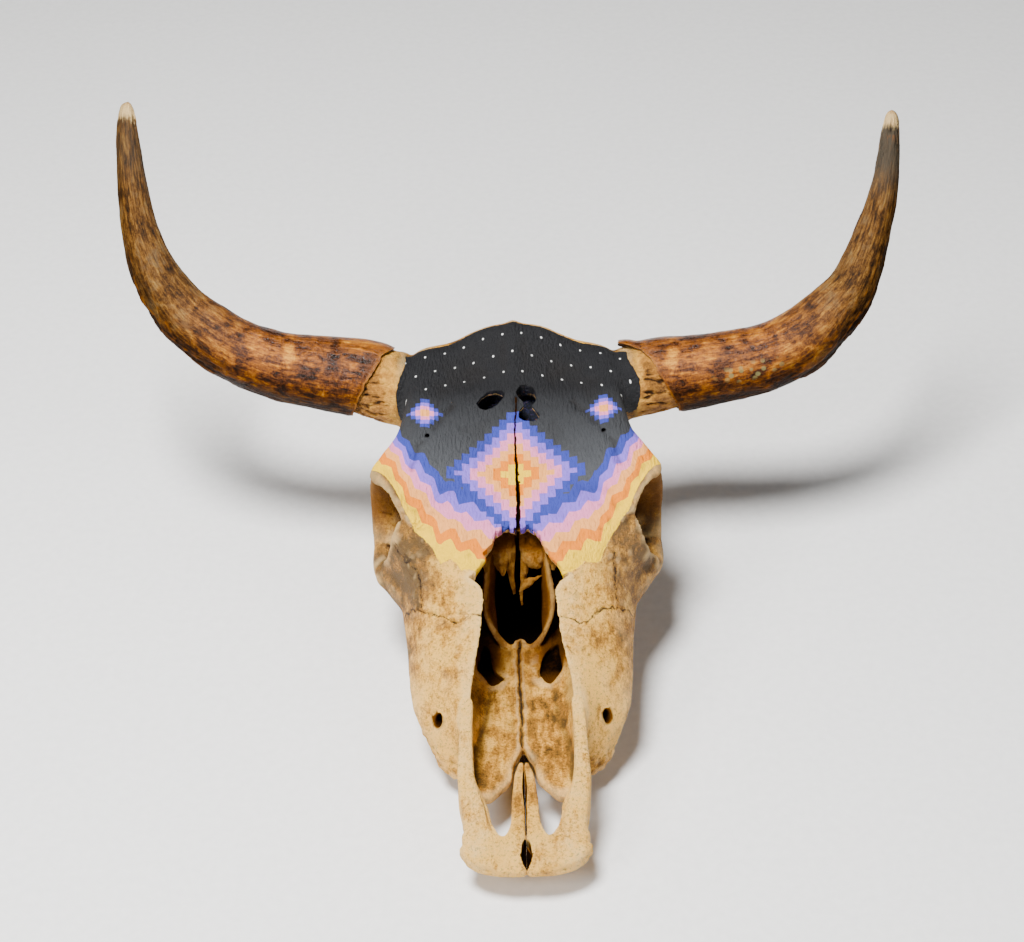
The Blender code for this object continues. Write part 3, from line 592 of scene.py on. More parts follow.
def addRelief(body):
    m = skullMarks
    p, normal = getPoints(body), getNormals(body)
    x, y, z = p.T
    aside = np.abs(x)
    above = smoothStep(normal[:, 2], 0.15, 0.5) * smoothStep(z, 60, 90)
    frontal = above * smoothStep(y, 225, 250)
    out = 0.55 * roughness(p, 28, 2, 1) + 0.2 * roughness(p, 6, 2, 5)
    out += frontal * 2.4 * bump(x - 1, 6) * smoothStep(y, 392, 430)  # ridge up to the crown
    for side in (1, -1):
        for height, across, width, along, length in m["swellings"]:
            out += frontal * height * bump(side * x - across, width) * bump(y - along, length)
    jitter = 1.1 * roughness(p, 7, 2, 9)
    for path in m["grooves"]:
        out -= frontal * 2.2 * bump(pathDistance(p[:, :2], path) + jitter, 3.6)
    wiggle = wander(p)
    for path in m["sutures"]:
        out -= above * 0.75 * bump(pathDistance(p[:, :2] + wiggle, path), 0.75)
    for *centre, width, height in m["knobs"]:
        out += height * bump(np.linalg.norm(p - centre, axis=1), width)
    for path in m["orbitCracks"]:
        out -= 1.6 * bump(pathDistance(p, path), 1.0)
    lumps = smoothStep(aside, 50, 62) * smoothStep(56 - z, 0, 16)  # over the roots of the teeth
    lumps *= smoothStep(y, 100, 112) * smoothStep(250 - y, 0, 30)
    out += lumps * (1.5 * roughness(p, 9, 2, 33) + 0.8 * roughness(p, 4, 2, 34))
    torn = above * smoothStep(aside, 26, 34) * smoothStep(60 - aside, 0, 8)  # beside the nose opening
    torn *= smoothStep(y, 150, 168) * smoothStep(252 - y, 0, 10)
    out += torn * 0.9 * np.clip(roughness(p, 5, 3, 35), -0.6, 1)
    # coarse bone in front of the eyes, the chipped end of the nasal bones, and the back of the head
    brow = above * smoothStep(aside, 60, 72) * smoothStep(y, 214, 232) * smoothStep(300 - y, 0, 20)
    out += brow * (0.7 * roughness(p, 7, 3, 36) + 0.3 * roughness(p, 2.6, 2, 37))
    fringe = smoothStep(24 - aside, 0, 4) * smoothStep(y, 250, 256)
    fringe *= smoothStep(273 - y, 0, 6) * smoothStep(z, 140, 148)
    out += fringe * (1.3 * np.abs(roughness(p, 3.2, 2, 38)) - 0.5)
    behind = smoothStep(y, 392, 412) * smoothStep(202 - z, 0, 12) * smoothStep(112 - aside, 0, 12)
    out += behind * (roughness(p, 22, 2, 41) + 0.3 * roughness(p, 6, 2, 42))
    rear = smoothStep(normal[:, 1], 0.3, 0.7) * smoothStep(y, 430, 445)  # ridge of the nape, hollows beside it
    out += rear * (2.2 * bump(x, 8) * bump(z - 160, 34) - 2 * bump(aside - 24, 14) * bump(z - 140, 22))
    # the palate's crack with its raised lips, and the furrowed horn cores, deepest next to the sheaths
    floor = (aside < 40) * smoothStep(normal[:, 2], 0.5, 0.8) * (z < 75) * (y > 95) * (y < 245)
    crack = pathDistance(p[:, :2] + wiggle * 0.4, m["palateCrack"])
    width = readOff(m["palateCrackWidth"], y)
    out += floor * (1.5 * bump(crack - 2.6, 1.9) - 2.6 * bump(crack, 0.5 + 0.6 * width)) * smoothStep(y, 114, 122)
    core = coreZone(p)
    grain = noise(p * (0.22, 1, 1), 2.6, 3) + 0.6 * noise(p * (0.3, 1, 1), 1.5, 8)
    near = smoothStep(aside, 106, 118)
    out -= core * (0.5 + 2.6 * near) * np.clip(grain + 0.1, 0, None) ** 1.2
    out += core * 0.5 * noise(p, 9, 12)
    setPoints(body, p + normal * out[:, None])


def openBreaks(body):
    m = skullMarks
    crack = []
    for y, x, width in smoothRow(m["crack"], 8):
        wobble = 0.45 * roughness(np.array([[y, 0, 0.0]]), 5, 3, 2)[0]
        half, low = width / 2, frontalHeight(y) - m["crackDepth"] - 14 * smoothStep(280 - y, 0, 30)
        crack.append([(x + wobble - half, y, 240), (x + wobble + half, y, 240),
                      (x + wobble + half * 0.7, y, low), (x + wobble - half * 0.7, y, low)])
    cutAway(body, loftedSkin("frontal crack", crack))
    rim = [spot for spot in skullShape["aperture"] if 151 < spot[1] < 226]
    rim = rim + [(-x, y) for x, y in reversed(rim)]
    cutAway(body, raggedColumn("torn walls", rim, 96, 260, jag=1.3, step=1.1, seed=57))
    edge = [(27, 236), (21, 250), *skullShape["brokenEnd"], (-21, 250), (-27, 236)]
    cutAway(body, raggedColumn("broken nasal bones", edge, 143, 260, jag=1.9, step=0.9, seed=58))
    for centre, radii in m["sinusHollows"]:
        hollow = ball("sinus hollow", centre, radii)
        spots = getPoints(hollow)
        setPoints(hollow, spots + getNormals(hollow) * (1.8 * roughness(spots, 9, 3, 4))[:, None])
        cutAway(body, hollow)
    for i, outline in enumerate(m["sinusHoles"]):
        cutAway(body, raggedColumn("sinus hole", outline, 186, 230, jag=0.9, step=1.2, seed=40 + i))
    for i, outline in enumerate(m["palateHoles"]):
        outline = outline[::(1, -1)[i]]
        cutAway(body, raggedColumn("palate hole", outline, *m["palateHoleDepth"], jag=0.9, step=1.3, seed=60 + i))
    for x, y, z in m["foramina"]:
        lean = [(x * 1.02, y - 8, z + 6, 2.0, 1.6), (x, y, z, 2.2, 1.8), (x * 0.97, y + 10, z - 6, 1.6, 1.4)]
        cutAway(body, tube("supraorbital hole", lean, sides=14))


def openSockets(body, gap=0.35):
    s = skullShape
    for side in (1, -1):
        cutAway(body, beyondSuture(side, True, gap / 2))
    sockets = [toothSocket(side, *tooth, 33) for tooth in cheekTeeth.values() for side in (1, -1)]
    cutAway(body, joined("sockets", sockets[0::4] + sockets[1::4]))  # every other one, so that none touch
    sockets = sockets[2::4] + sockets[3::4] + [toothSocket(side, *s["emptySocket"]) for side in (1, -1)]
    cutAway(body, joined("sockets", sockets))
    cutAway(body, slab("under the table", [(380, -90, 90, -30, 0), (480, -90, 90, -30, 0)], 1))


def toothSocket(side, front, back, middle, half, top):
    sizes = [(-4, 0.5), (12, 0.5), (20, 0.6), (top + 0.5, -1.6)]
    rings = []
    for z, grow in sizes:
        box = roundedBox(side * middle - half - grow, side * middle + half + grow, front - grow, back + grow, 0.25)
        rings.append([(x, y, z) for x, y in box])
    return loftedSkin("tooth socket", rings)


def keepLargest(piece):  # crumbs that a cut leaves are deleted
    pick(piece)
    bpy.ops.object.mode_set(mode="EDIT")
    bpy.ops.mesh.select_all(action="SELECT")
    bpy.ops.mesh.separate(type="LOOSE")
    bpy.ops.object.mode_set(mode="OBJECT")
    parts = sorted(bpy.context.selected_objects, key=lambda part: len(part.data.vertices))
    name = piece.name.split(".")[0]
    for crumb in parts[:-1]:
        bpy.data.objects.remove(crumb)
    parts[-1].name = name
    return pick(parts[-1])


paintEdge = {
    "front": [  # x, y where the paint's front edge runs, from the skull's right to its left
        (-125, 326), (-119.4, 318.8), (-110.6, 311), (-106, 303), (-99.4, 291), (-95.3, 280), (-89.6, 269.5),
        (-81.5, 261), (-71.5, 250), (-66.7, 241), (-64.2, 237), (-56.6, 238), (-50.8, 234), (-48.5, 228.8),
        (-36, 226), (-28, 221), (0, 215), (28, 216), (38, 222), (49, 228), (55, 234), (64.3, 235.5), (68.6, 238),
        (70.5, 243.5), (74, 249.6), (79.5, 258.8), (85.7, 266), (93.6, 273.5), (96.3, 279), (99.2, 286),
        (103.9, 295), (111.4, 307), (118, 316), (125, 322),
    ],
    "lid": [(222, 134), (262, 150), (300, 164), (335, 172), (360, 158), (400, 140), (475, 140)],  # y, lowest z
    "ridge": 462.2, "ridgeDrop": 0.0029,
    "horn": [  # z, the widest painted x on the skull's right and on its left
        (150, 96, 102), (165, 98.5, 105), (177, 100.7, 108), (192, 102.8, 110.6), (203, 101, 110), (209, 98, 106),
        (213, 93, 100),
    ],
    "hornFrom": 372,
}


def paintDistance(p, normal):  # millimetres inside the painted field, negative where the bone is bare
    e = paintEdge
    x, y, z = p.T
    ahead = (y - readOff(e["front"], x)) * 0.75
    lid = z - readOff(e["lid"], y)
    back = e["ridge"] - e["ridgeDrop"] * x * x - y
    side = np.minimum(x + readOff(e["horn"], z), readOff(e["horn"], z, 2) - x)
    side = np.where(y > e["hornFrom"], side, side + (e["hornFrom"] - y) * 1.5)
    facing = normal[:, 2] * 14 + 3
    return np.minimum.reduce([ahead, lid, back, side, facing])


def neighbourMean(piece, values, passes):  # each point's value drawn towards those of the points next to it
    ends = np.empty(len(piece.data.edges) * 2, int)
    piece.data.edges.foreach_get("vertices", ends)
    a, b = ends[0::2], ends[1::2]
    count = np.bincount(ends, minlength=len(piece.data.vertices))[:, None]
    values = np.asarray(values, float).reshape(len(piece.data.vertices), -1)
    for _ in range(passes):
        total = np.zeros_like(values)
        for i in range(values.shape[1]):
            total[:, i] = np.bincount(a, values[b, i], len(values)) + np.bincount(b, values[a, i], len(values))
        values = 0.5 * values + 0.5 * total / np.maximum(count, 1)
    return values


def markConvexity(piece):  # how much each point stands out: above 0 on ridges and edges, below 0 in hollows; the materials use it for wear and dirt, and for painted highlights on ridges and painted shade in hollows
    p = getPoints(piece)
    lift = ((p - neighbourMean(piece, p, 8)) * getNormals(piece)).sum(axis=1)
    addAttribute(piece, "convexity", neighbourMean(piece, lift, 2)[:, 0])


def markPlain(bone, inside=0.0, ochre=0.0):  # a bone with no paint on it
    zones = {"paintDepth": -50, "frontDepth": -50, "sutureDistance": 50, "sinusZone": 0, "coreZone": 0,
             "greyZone": 0, "shadeAndDirtZone": inside, "ochreZone": ochre}
    for name, value in zones.items():
        addAttribute(bone, name, value + np.zeros(len(bone.data.vertices)))


def markSkull(body):
    m = skullMarks
    p, normal = getPoints(body), getNormals(body)
    x, y, z = p.T
    aside = np.abs(x)
    addAttribute(body, "frontDepth", (y - readOff(paintEdge["front"], x)) * 0.75)
    addAttribute(body, "coreZone", coreZone(p) * (1 + smoothStep(aside, 107, 121)))  # 2 next to the sheath
    suture = np.full(len(p), 50.0)
    wiggle = wander(p)
    for path in m["sutures"]:
        suture = np.minimum(suture, pathDistance(p[:, :2] + wiggle, path))
    suture = np.where((normal[:, 2] > 0.1) & (z > 60), suture, 50)
    floor = (aside < 40) * (z > 36) * (z < 54) * (y > 95) * (y < 242)
    middle = pathDistance(p[:, :2] + wiggle * 0.4, m["palateCrack"])
    suture = np.where(floor, np.minimum(suture, middle / readOff(m["palateCrackWidth"], y)), suture)
    for path in m["orbitCracks"]:
        suture = np.minimum(suture, pathDistance(p, path) * 0.8)
    addAttribute(body, "sutureDistance", suture)
    # the insides of the nose, throat, eye sockets, sinus, holes and cracks: painted shade, with some dirt, darker
    # where they lie deeper
    under = frontalHeight(y) - z  # how far below the forehead
    wide = readOff(m["throatRim"], z)
    depth = (y - readOff(m["throatFront"], z)) * lookDown[1]  # behind the throat's rim
    throat = (y > 238) * (y < 310) * (z < 146) * (aside < wide + 0.8)
    # painted shade in the nose, deeper the further below the forehead
    cavity = smoothStep(52 - aside, 0, 8) * smoothStep(y, 186, 236) * smoothStep(345 - y, 0, 30)
    cavity *= 1 - smoothStep(aside, 36, 44) * smoothStep(y, 280, 300)
    cavity *= 0.85 * smoothStep(under, 4, 16) + 0.75 * smoothStep(under, 18, 50) * smoothStep(aside, wide, wide + 3)
    cavity *= 1 - 0.45 * smoothStep(22 - aside, 0, 10) * smoothStep(246 - y, 0, 8)
    throat = throat * (0.25 + 0.75 * smoothStep(depth, 0.5, 4) + 0.8 * smoothStep(depth, 5, 16))
    cavity = np.where(throat > 0, np.minimum(cavity, 0.3) + throat, cavity)
    # painted shade in the eye sockets
    socket = smoothStep(aside, 60, 80) * smoothStep(y, 276, 300) * smoothStep(352 - y, 0, 14)
    socket *= smoothStep(182 - z, 3, 12) * smoothStep(z, 112, 134)
    sinus = np.zeros(len(p))
    for centre, radii in m["sinusHollows"]:
        sinus = np.maximum(sinus, np.linalg.norm((p - centre) / radii, axis=1) < 1.2)
    sinus = sinus * smoothStep(190 + 0.33 * (y - 360) - z, 2.2, 3.2)
    # painted shade on what one sees through the throat
    tunnel = smoothStep(46 - aside, 0, 8) * smoothStep(y, 262, 280) * smoothStep(440 - y, 0, 30)
    tunnel *= smoothStep(112 - z, 0, 10) * smoothStep(-normal @ lookDown, -0.45, -0.1)  # faces forwards and upwards
    # painted shade in the broken pockets of the palate
    pocket = (aside > 13) * (aside < 39) * (y > 190) * (y < 272) * smoothStep(45.4 - z, 0, 2.5) * (z > 30)
    pocket = pocket * (0.72 + 0.28 * smoothStep(y, 200, 218))
    # towards the palate's back: painted shade with some brown stain
    palateBack = (aside < 30) * (z < 62) * (z > 36) * smoothStep(normal[:, 2], 0, 0.5)
    palateBack = palateBack * (0.75 * smoothStep(y, 196, 214) * smoothStep(aside, 8, 19)
                               + 0.4 * smoothStep(y, 198, 226) + 0.35 * bump(x + 1, 5) * smoothStep(y, 178, 200))
    # painted shade on the dark sheet and the throat's floor
    shadeSheet = (aside < 22.5) * (y > 246) * (y < 385) * smoothStep(62 - z, 0, 8)
    # painted shade inside the holes below the eyes
    holes = 0
    for path in bothSides(skullShape["infraorbital"]):
        line = np.array([spot[:3] for spot in path])
        deeper = smoothStep((p - line[0]) @ (line[1] - line[0]) / np.linalg.norm(line[1] - line[0]), 17, 23)
        holes = np.maximum(holes, smoothStep(7.5 - pathDistance(p, line), 0, 1) * deeper)
    # painted shade down in the frontal crack
    rows = smoothRow(m["crack"], 8)[::-1]
    inCrack = np.abs(x - readOff(rows, y)) < readOff(rows, y, 2) / 2 + 0.4
    inCrack = inCrack * (y > 238) * (y < 402) * (z > 110) * (np.abs(normal[:, 0]) > 0.6)
    addAttribute(body, "paintDepth", np.where(inCrack, -3, paintDistance(p, normal)))
    zones = [2 * inCrack, cavity, 0.75 * socket, tunnel * 1.3, pocket * 2, shadeSheet * 2, 1.8 * holes,
             np.clip(palateBack, 0, 0.85)]
    outside = smoothStep(np.sign(x) * normal[:, 0], 0.2, 0.6)  # outer faces of the pterygoid plates
    outside *= smoothStep(aside, 19, 22) * smoothStep(y, 254, 266) * smoothStep(108 - z, 0, 12)
    addAttribute(body, "shadeAndDirtZone", np.maximum.reduce(zones) * (1 - 0.85 * outside))
    addAttribute(body, "sinusZone", sinus)
    # ochreZone: stained cheeks, palate and back, and the bleached edges of the muzzle; greyZone: round the eyes
    cheek = 0.8 * (smoothStep(aside, 62, 84) * smoothStep(y, 120, 170) + smoothStep(46 - z, 0, 25) * (aside > 42))
    palate = 0.75 * (aside < 42) * smoothStep(58 - z, 0, 8) + 0.7 * (y > 300)
    edges = 0.55 * smoothStep(56 - aside, 0, 12) * smoothStep(z, 80, 100) * smoothStep(250 - y, 0, 20)
    cheek += 0.9 * smoothStep(aside, 66, 80) * smoothStep(y, 215, 240)
    addAttribute(body, "ochreZone", np.clip(np.maximum(cheek, palate), 0, 1.7) - edges)
    grey = smoothStep(aside, 58, 76) * smoothStep(z, 84, 110)
    addAttribute(body, "greyZone", grey * smoothStep(y, 208, 236) * smoothStep(345 - y, 0, 20))
    markConvexity(body)


def buildSkull():
    s = skullShape
    body = cutAway(skullMasses(), skullHollows())
    body = remeshed(joined("skull_bone", [body, *innerBones()]), s["innerVoxel"])
    body = cutAway(body, skullHoles())
    # a near-black sheet across the throat that stands in for shade
    shadeSheet = slab("shadeSheet", [(y, -half, half, low, high) for y, half, low, high in s["shadeSheet"]])
    body = remeshed(joined("skull_bone", [body, shadeSheet, *throatWalls()]), s["innerVoxel"])
    applied(body, "SMOOTH", factor=0.5, iterations=s["smoothing"])
    addRelief(body)
    body = keepLargest(body)
    openBreaks(body)
    openSockets(body)
    body = keepLargest(body)
    applied(body, "TRIANGULATE")
    applied(body, "DECIMATE", ratio=s["triangles"] / len(body.data.polygons))
    markSkull(body)
    shaded(body, 55)
    print("skull bone:", len(body.data.polygons), "triangles")
    return body


# Thin scrolls and splinters of bone that hang in the top of the nose

scrollShape = {
    "thickness": 0.8,
    "leaves": [  # each a line of x, y, z, half breadth, from where it grows out of the bone to its free end
        [(-17, 276, 156, 5), (-17.5, 270, 145, 8), (-16.5, 266, 131, 9.5), (-14.5, 263, 117, 6),
         (-13.8, 262, 108, 1.2)],
        [(-7, 278, 152, 4), (-8, 271, 138, 6), (-7.4, 268, 118, 4.5), (-5.6, 266, 98, 2.4), (-4.2, 265, 83, 0.7)],
        [(-21, 270, 152, 3), (-25, 262, 141, 5), (-27.5, 256, 130, 4), (-27, 252, 121, 1)],
        [(15, 278, 152, 6), (15, 269, 140, 10), (14.6, 263, 127, 11), (14.2, 261, 119, 9), (14, 262, 114, 3)],
        [(6.5, 278, 150, 3), (6, 270, 134, 5), (5.6, 267, 112, 3.6), (3, 265, 96, 1.8), (1.4, 264, 83, 0.7)],
        [(25, 266, 150, 3), (27, 259, 140, 5), (29, 253, 131, 4), (29, 250, 124, 1)],
        [(1.6, 263, 88, 1.4), (6, 262, 94, 4), (12, 262, 101, 5.2), (18, 262, 105, 2), (22, 262, 107, 1)],
        [(1.8, 262, 90, 1), (2.1, 261, 82, 0.8), (2.3, 260, 75, 0.4)],
    ],
    "curl": 0.5,
}


def buildScrolls():
    s = scrollShape
    leaves = []
    for i, path in enumerate(s["leaves"]):
        rows = smoothRow(path, 10)
        rings = []
        for k, (x, y, z, half) in enumerate(rows):
            t = np.linspace(-1, 1, 17)
            spots = np.stack([x + half * t, y + s["curl"] * half * t * t, z + 0 * t], axis=1)
            spots[:, 0] += 0.5 * np.sin(t * 7 + k * 0.35 + i)
            spots += roughness(spots, 5, 2, i)[:, None] * (0.3, 1.4, 0.5)
            thick = s["thickness"] * (1.15 - np.abs(t)) / 2 * (1 if half > 1.5 else half / 1.5)
            front, back = spots - thick[:, None] * (0, 1, 0), spots + thick[:, None] * (0, 1, 0)
            rings.append(np.concatenate([front, back[::-1]]))
        leaves.append(loftedSkin("scroll", rings))
    scrolls = joined("ethmoid_scrolls", leaves)
    markConvexity(scrolls)
    # painted shade on the scrolls, deeper up near the roof
    markPlain(scrolls, 0.75 + 0.6 * smoothStep(getPoints(scrolls)[:, 2], 128, 140))
    return shaded(scrolls, 50)


# The two incisive bones: a blade at the tip, a prong along the middle and a long strip up the side

incisiveShape = {
    "voxel": 0.85, "smoothing": 4, "gap": 0.5,
    "blade": [  # y, inner x, outer x, low z, high z
        (-2.5, 2, 13, 31, 36), (0, 0.8, 27, 29, 38), (4, 0.7, 38.5, 28, 41), (9, 0.7, 46, 28, 43),
        (14, 0.7, 49.8, 29, 45), (20, 0.7, 50, 31, 47), (26, 0.8, 14, 37, 47),
    ],
    "prong": [(18, 0.4, 14, 37, 47), (40, 0.4, 12.4, 39, 47), (62, 0.4, 11, 39, 47), (86, 0.4, 8.4, 39, 47),
              (98, 0.4, 6, 39.5, 46.5), (105, 0.4, 4.2, 40, 46)],
    "web": [(12, 0.7, 49.4, 29, 43.6), (17, 0.7, 49.8, 30, 46), (22, 0.7, 50, 31.5, 47), (30, 0.8, 50.5, 34, 48),
            (38, 0.8, 45, 36, 47.5)],
    "flange": [(30, 24, 49.5, 34, 47.5), (40, 26, 48.5, 36, 48), (50, 28, 46, 36, 50), (62, 31.5, 46, 36, 52),
               (76, 38.5, 46, 36, 56)],
    # the keel's back end, under the palate's notch, is a dark plate that stands in for shade
    "keel": [(0, -2.4, 6, 30, 36), (8, -2.4, 6, 30, 37), (24, -2.4, 6, 32, 38), (40, -2.4, 6, 38, 42),
             (96, -2.4, 5, 38.4, 42), (108, -2.4, 4.6, 38.4, 41.4), (118, -2.4, 1.6, 39, 41.4)],
    "middleGap": 0.06,
    "fissure": [  # inner edge of the gap between the prong and the strip: x, y
        (10.4, 78), (10.7, 62), (11.4, 43), (13.4, 32), (16, 27), (18.5, 25.6), (21.6, 27.4), (25, 33.5), (27.6, 41),
        (29.2, 50), (30.4, 62), (33, 78), (20, 84),
    ],
    "leafHole": [(-1, 0.5), (1.8, 2.8), (4.1, 7), (4.4, 12.5), (3.6, 18), (1.2, 23), (-1, 24)],
    "slit": [(-2, 26), (0.25, 30), (0.4, 50), (1.2, 62), (1.9, 74), (1.6, 86), (0.6, 97), (-2, 99)],
}


def buildIncisive(side, word):
    s = incisiveShape
    wall = muzzleWalls()
    keep, drop = wall if side > 0 else wall[::-1]
    bpy.data.objects.remove(drop)
    parts = [keep]
    for name in ("blade", "prong", "web", "flange", "keel"):
        rows = [(y, *sorted((side * inner, side * outer)), low, high) for y, inner, outer, low, high in s[name]]
        parts.append(slab(name, rows))
    bone = remeshed(joined(word + "_incisive_bone", parts), s["voxel"])
    applied(bone, "SMOOTH", factor=0.5, iterations=s["smoothing"])
    p, normal = getPoints(bone), getNormals(bone)
    x, y, z = p.T
    x = side * x
    top = smoothStep(normal[:, 2], 0.2, 0.7)
    out = 0.35 * roughness(p, 16, 2, 50 + side) + 0.14 * roughness(p, 5, 2, 60)
    out -= top * 1.6 * smoothStep(24 - y, 0, 14) * bump(x - 20, 14) * smoothStep(y, 1, 8)  # hollow behind the lip
    out += top * 0.8 * bump(x - 7, 3) * smoothStep(y, 20, 34) * smoothStep(105 - y, 0, 12)
    out -= 1.1 * bump(x - 30, 6) * smoothStep(6 - y, 0, 6) * (z > 33)
    out -= smoothStep(x, 38, 48) * 0.9 * np.clip(roughness(p, 4, 3, 70) - 0.1, 0, None) * smoothStep(34 - y, 0, 14)
    p = p + normal * out[:, None]
    p[:, 0] = side * np.maximum(side * p[:, 0], s["middleGap"])
    setPoints(bone, p)
    leaf = [(side * x, y) for x, y in s["leafHole"]]
    cutAway(bone, raggedColumn("leaf hole", leaf[::side], 36, 70, jag=0.25, step=0.9, seed=80))
    for key, jag, low in (("fissure", 0.5, 10), ("slit", 0.2, 41.6)):
        outline = [(side * x, y) for x, y in s[key]]
        cutAway(bone, raggedColumn(key, outline[::side], low, 70, jag=jag, step=1.2, seed=82 + side))
    cutAway(bone, beyondSuture(side, False, s["gap"] / 2))
    bone = keepLargest(bone)
    x, y, z = getPoints(bone).T
    x = side * x
    # painted shade inside the leaf hole and the slit, and on the keel's back end
    leafZone = (x < np.interp(y, [0, 3, 12, 18, 24], [0.5, 3, 5.4, 4.6, 0.5])) * (y > 0) * (y < 24)
    leafZone = leafZone * ((z < 43.2) | (getNormals(bone)[:, 2] < 0.45))
    slitZone = (x < 2.6) * (y > 28) * (y < 97) * (z < 45.5)
    keelShade = (y > 105.5) * (x < 12)
    stained = 0.5 * smoothStep(24 - x, 0, 12) * smoothStep(y, 26, 34)
    # paler on the outer strip and at the tip: partly bleached bone, partly painted highlight
    bleached = 0.6 * smoothStep(x, 20, 36) + 0.3 * smoothStep(32 - y, 0, 8)
    markPlain(bone, 2.0 * np.maximum.reduce([leafZone, slitZone, keelShade]), stained - bleached)
    markConvexity(bone)
    return shaded(bone, 55)


# Horn sheaths: hollow keratin, worn and flaking, slipped a little way along their cores

hornShape = {
    "sides": 150, "step": 1.3, "fine": 24, "boreGap": 0.7, "coreEndGap": 2, "tipRound": 5,
    "rimShift": {"left": (1, 14), "right": (4, 9)},  # towards the skull: all round, and more at the top
    "rimFade": 75,
    "flap": {"left": (22, 5.5), "right": (3, 1.5)},  # torn tongue at the top of the rim: length, lift
    "fibre": 0.3, "flake": 0.8, "lump": 0.55,
}


def hornFrame(side):
    rows = np.array(hornAxis[side], float)
    start = int(np.argmax(rows[:, 4] > 0))
    rows[:start, 4] = rows[start, 4]
    line = smoothRow(rows, hornShape["fine"])
    run = np.gradient(line[:, :3], axis=0)
    run /= np.linalg.norm(run, axis=1)[:, None]
    across = np.cross(run, lookDown)
    across /= np.linalg.norm(across, axis=1)[:, None]
    length = np.concatenate([[0], np.cumsum(np.linalg.norm(np.diff(line[:, :3], axis=0), axis=1))])
    coreEnd = length[(int(np.argmin(rows[:, 3] > 0)) - 1) * hornShape["fine"]]
    zero = length[start * hornShape["fine"]]
    return {"along": length - zero, "line": line, "across": across, "up": np.cross(across, run),
            "end": length[-1] - zero, "coreEnd": coreEnd - zero, "start": -zero}


def hornPlace(frame, s, turn, radius):
    def at(values):
        return np.stack([np.interp(s, frame["along"], values[:, k]) for k in range(3)], axis=-1)

    ring = np.cos(turn)[..., None] * at(frame["across"]) + np.sin(turn)[..., None] * at(frame["up"])
    return at(frame["line"]) + ring * radius[..., None]


def hornRelief(s, high, near, end, seed):
    # s runs along the horn, high is 1 on its upper side and near is 1 on the side that faces forwards
    shape = s.shape
    q = np.stack([s, 30 * high, 30 * near], axis=-1).reshape(-1, 3)
    h = hornShape
    far = smoothStep(q[:, 0], 60, end * 0.75)
    under = smoothStep(-q[:, 1] / 30, 0.1, 0.7)
    bend = bump(q[:, 0] - end * 0.42, end * 0.2)
    tip = smoothStep(q[:, 0], end - 70, end - 20)
    out = h["lump"] * roughness(q, 26, 3, seed) * (1 - 0.5 * tip)
    fibres = noise(q * (0.07, 1, 1), 2.6, seed + 5) + 0.6 * noise(q * (0.1, 1, 1), 1.5, seed + 6)
    out += h["fibre"] * fibres * (0.3 + 0.7 * far)
    # growth rings near the head, then layers that flake off in ledges, then pits
    out += 0.25 * noise(q * (1, 0.12, 0.12), 9, seed + 7) * (1 - far)
    steps = (roughness(q * (0.55, 1, 1), 12, 4, seed + 8) + 1.5) * 2.2
    ledge = np.floor(steps) + smoothStep(steps - np.floor(steps), 0.78, 1.0)
    out += h["flake"] * (ledge - 3.3) * np.clip(under * bend * 1.1 + 0.4 * tip + 0.12, 0, 1)
    holes = roughness(q * (0.6, 1, 1), 6, 2, seed + 9)
    out -= 0.9 * smoothStep(holes, 0.72, 0.95) * (0.3 + 0.7 * far)
    if seed > 100:  # a small hole near the tip of the left horn
        out -= 2.6 * bump(q[:, 0] - (end - 17), 3.4) * bump(q[:, 1] / 30 - 0.1, 0.5) * (near.reshape(-1) > 0)
    return out.reshape(shape)


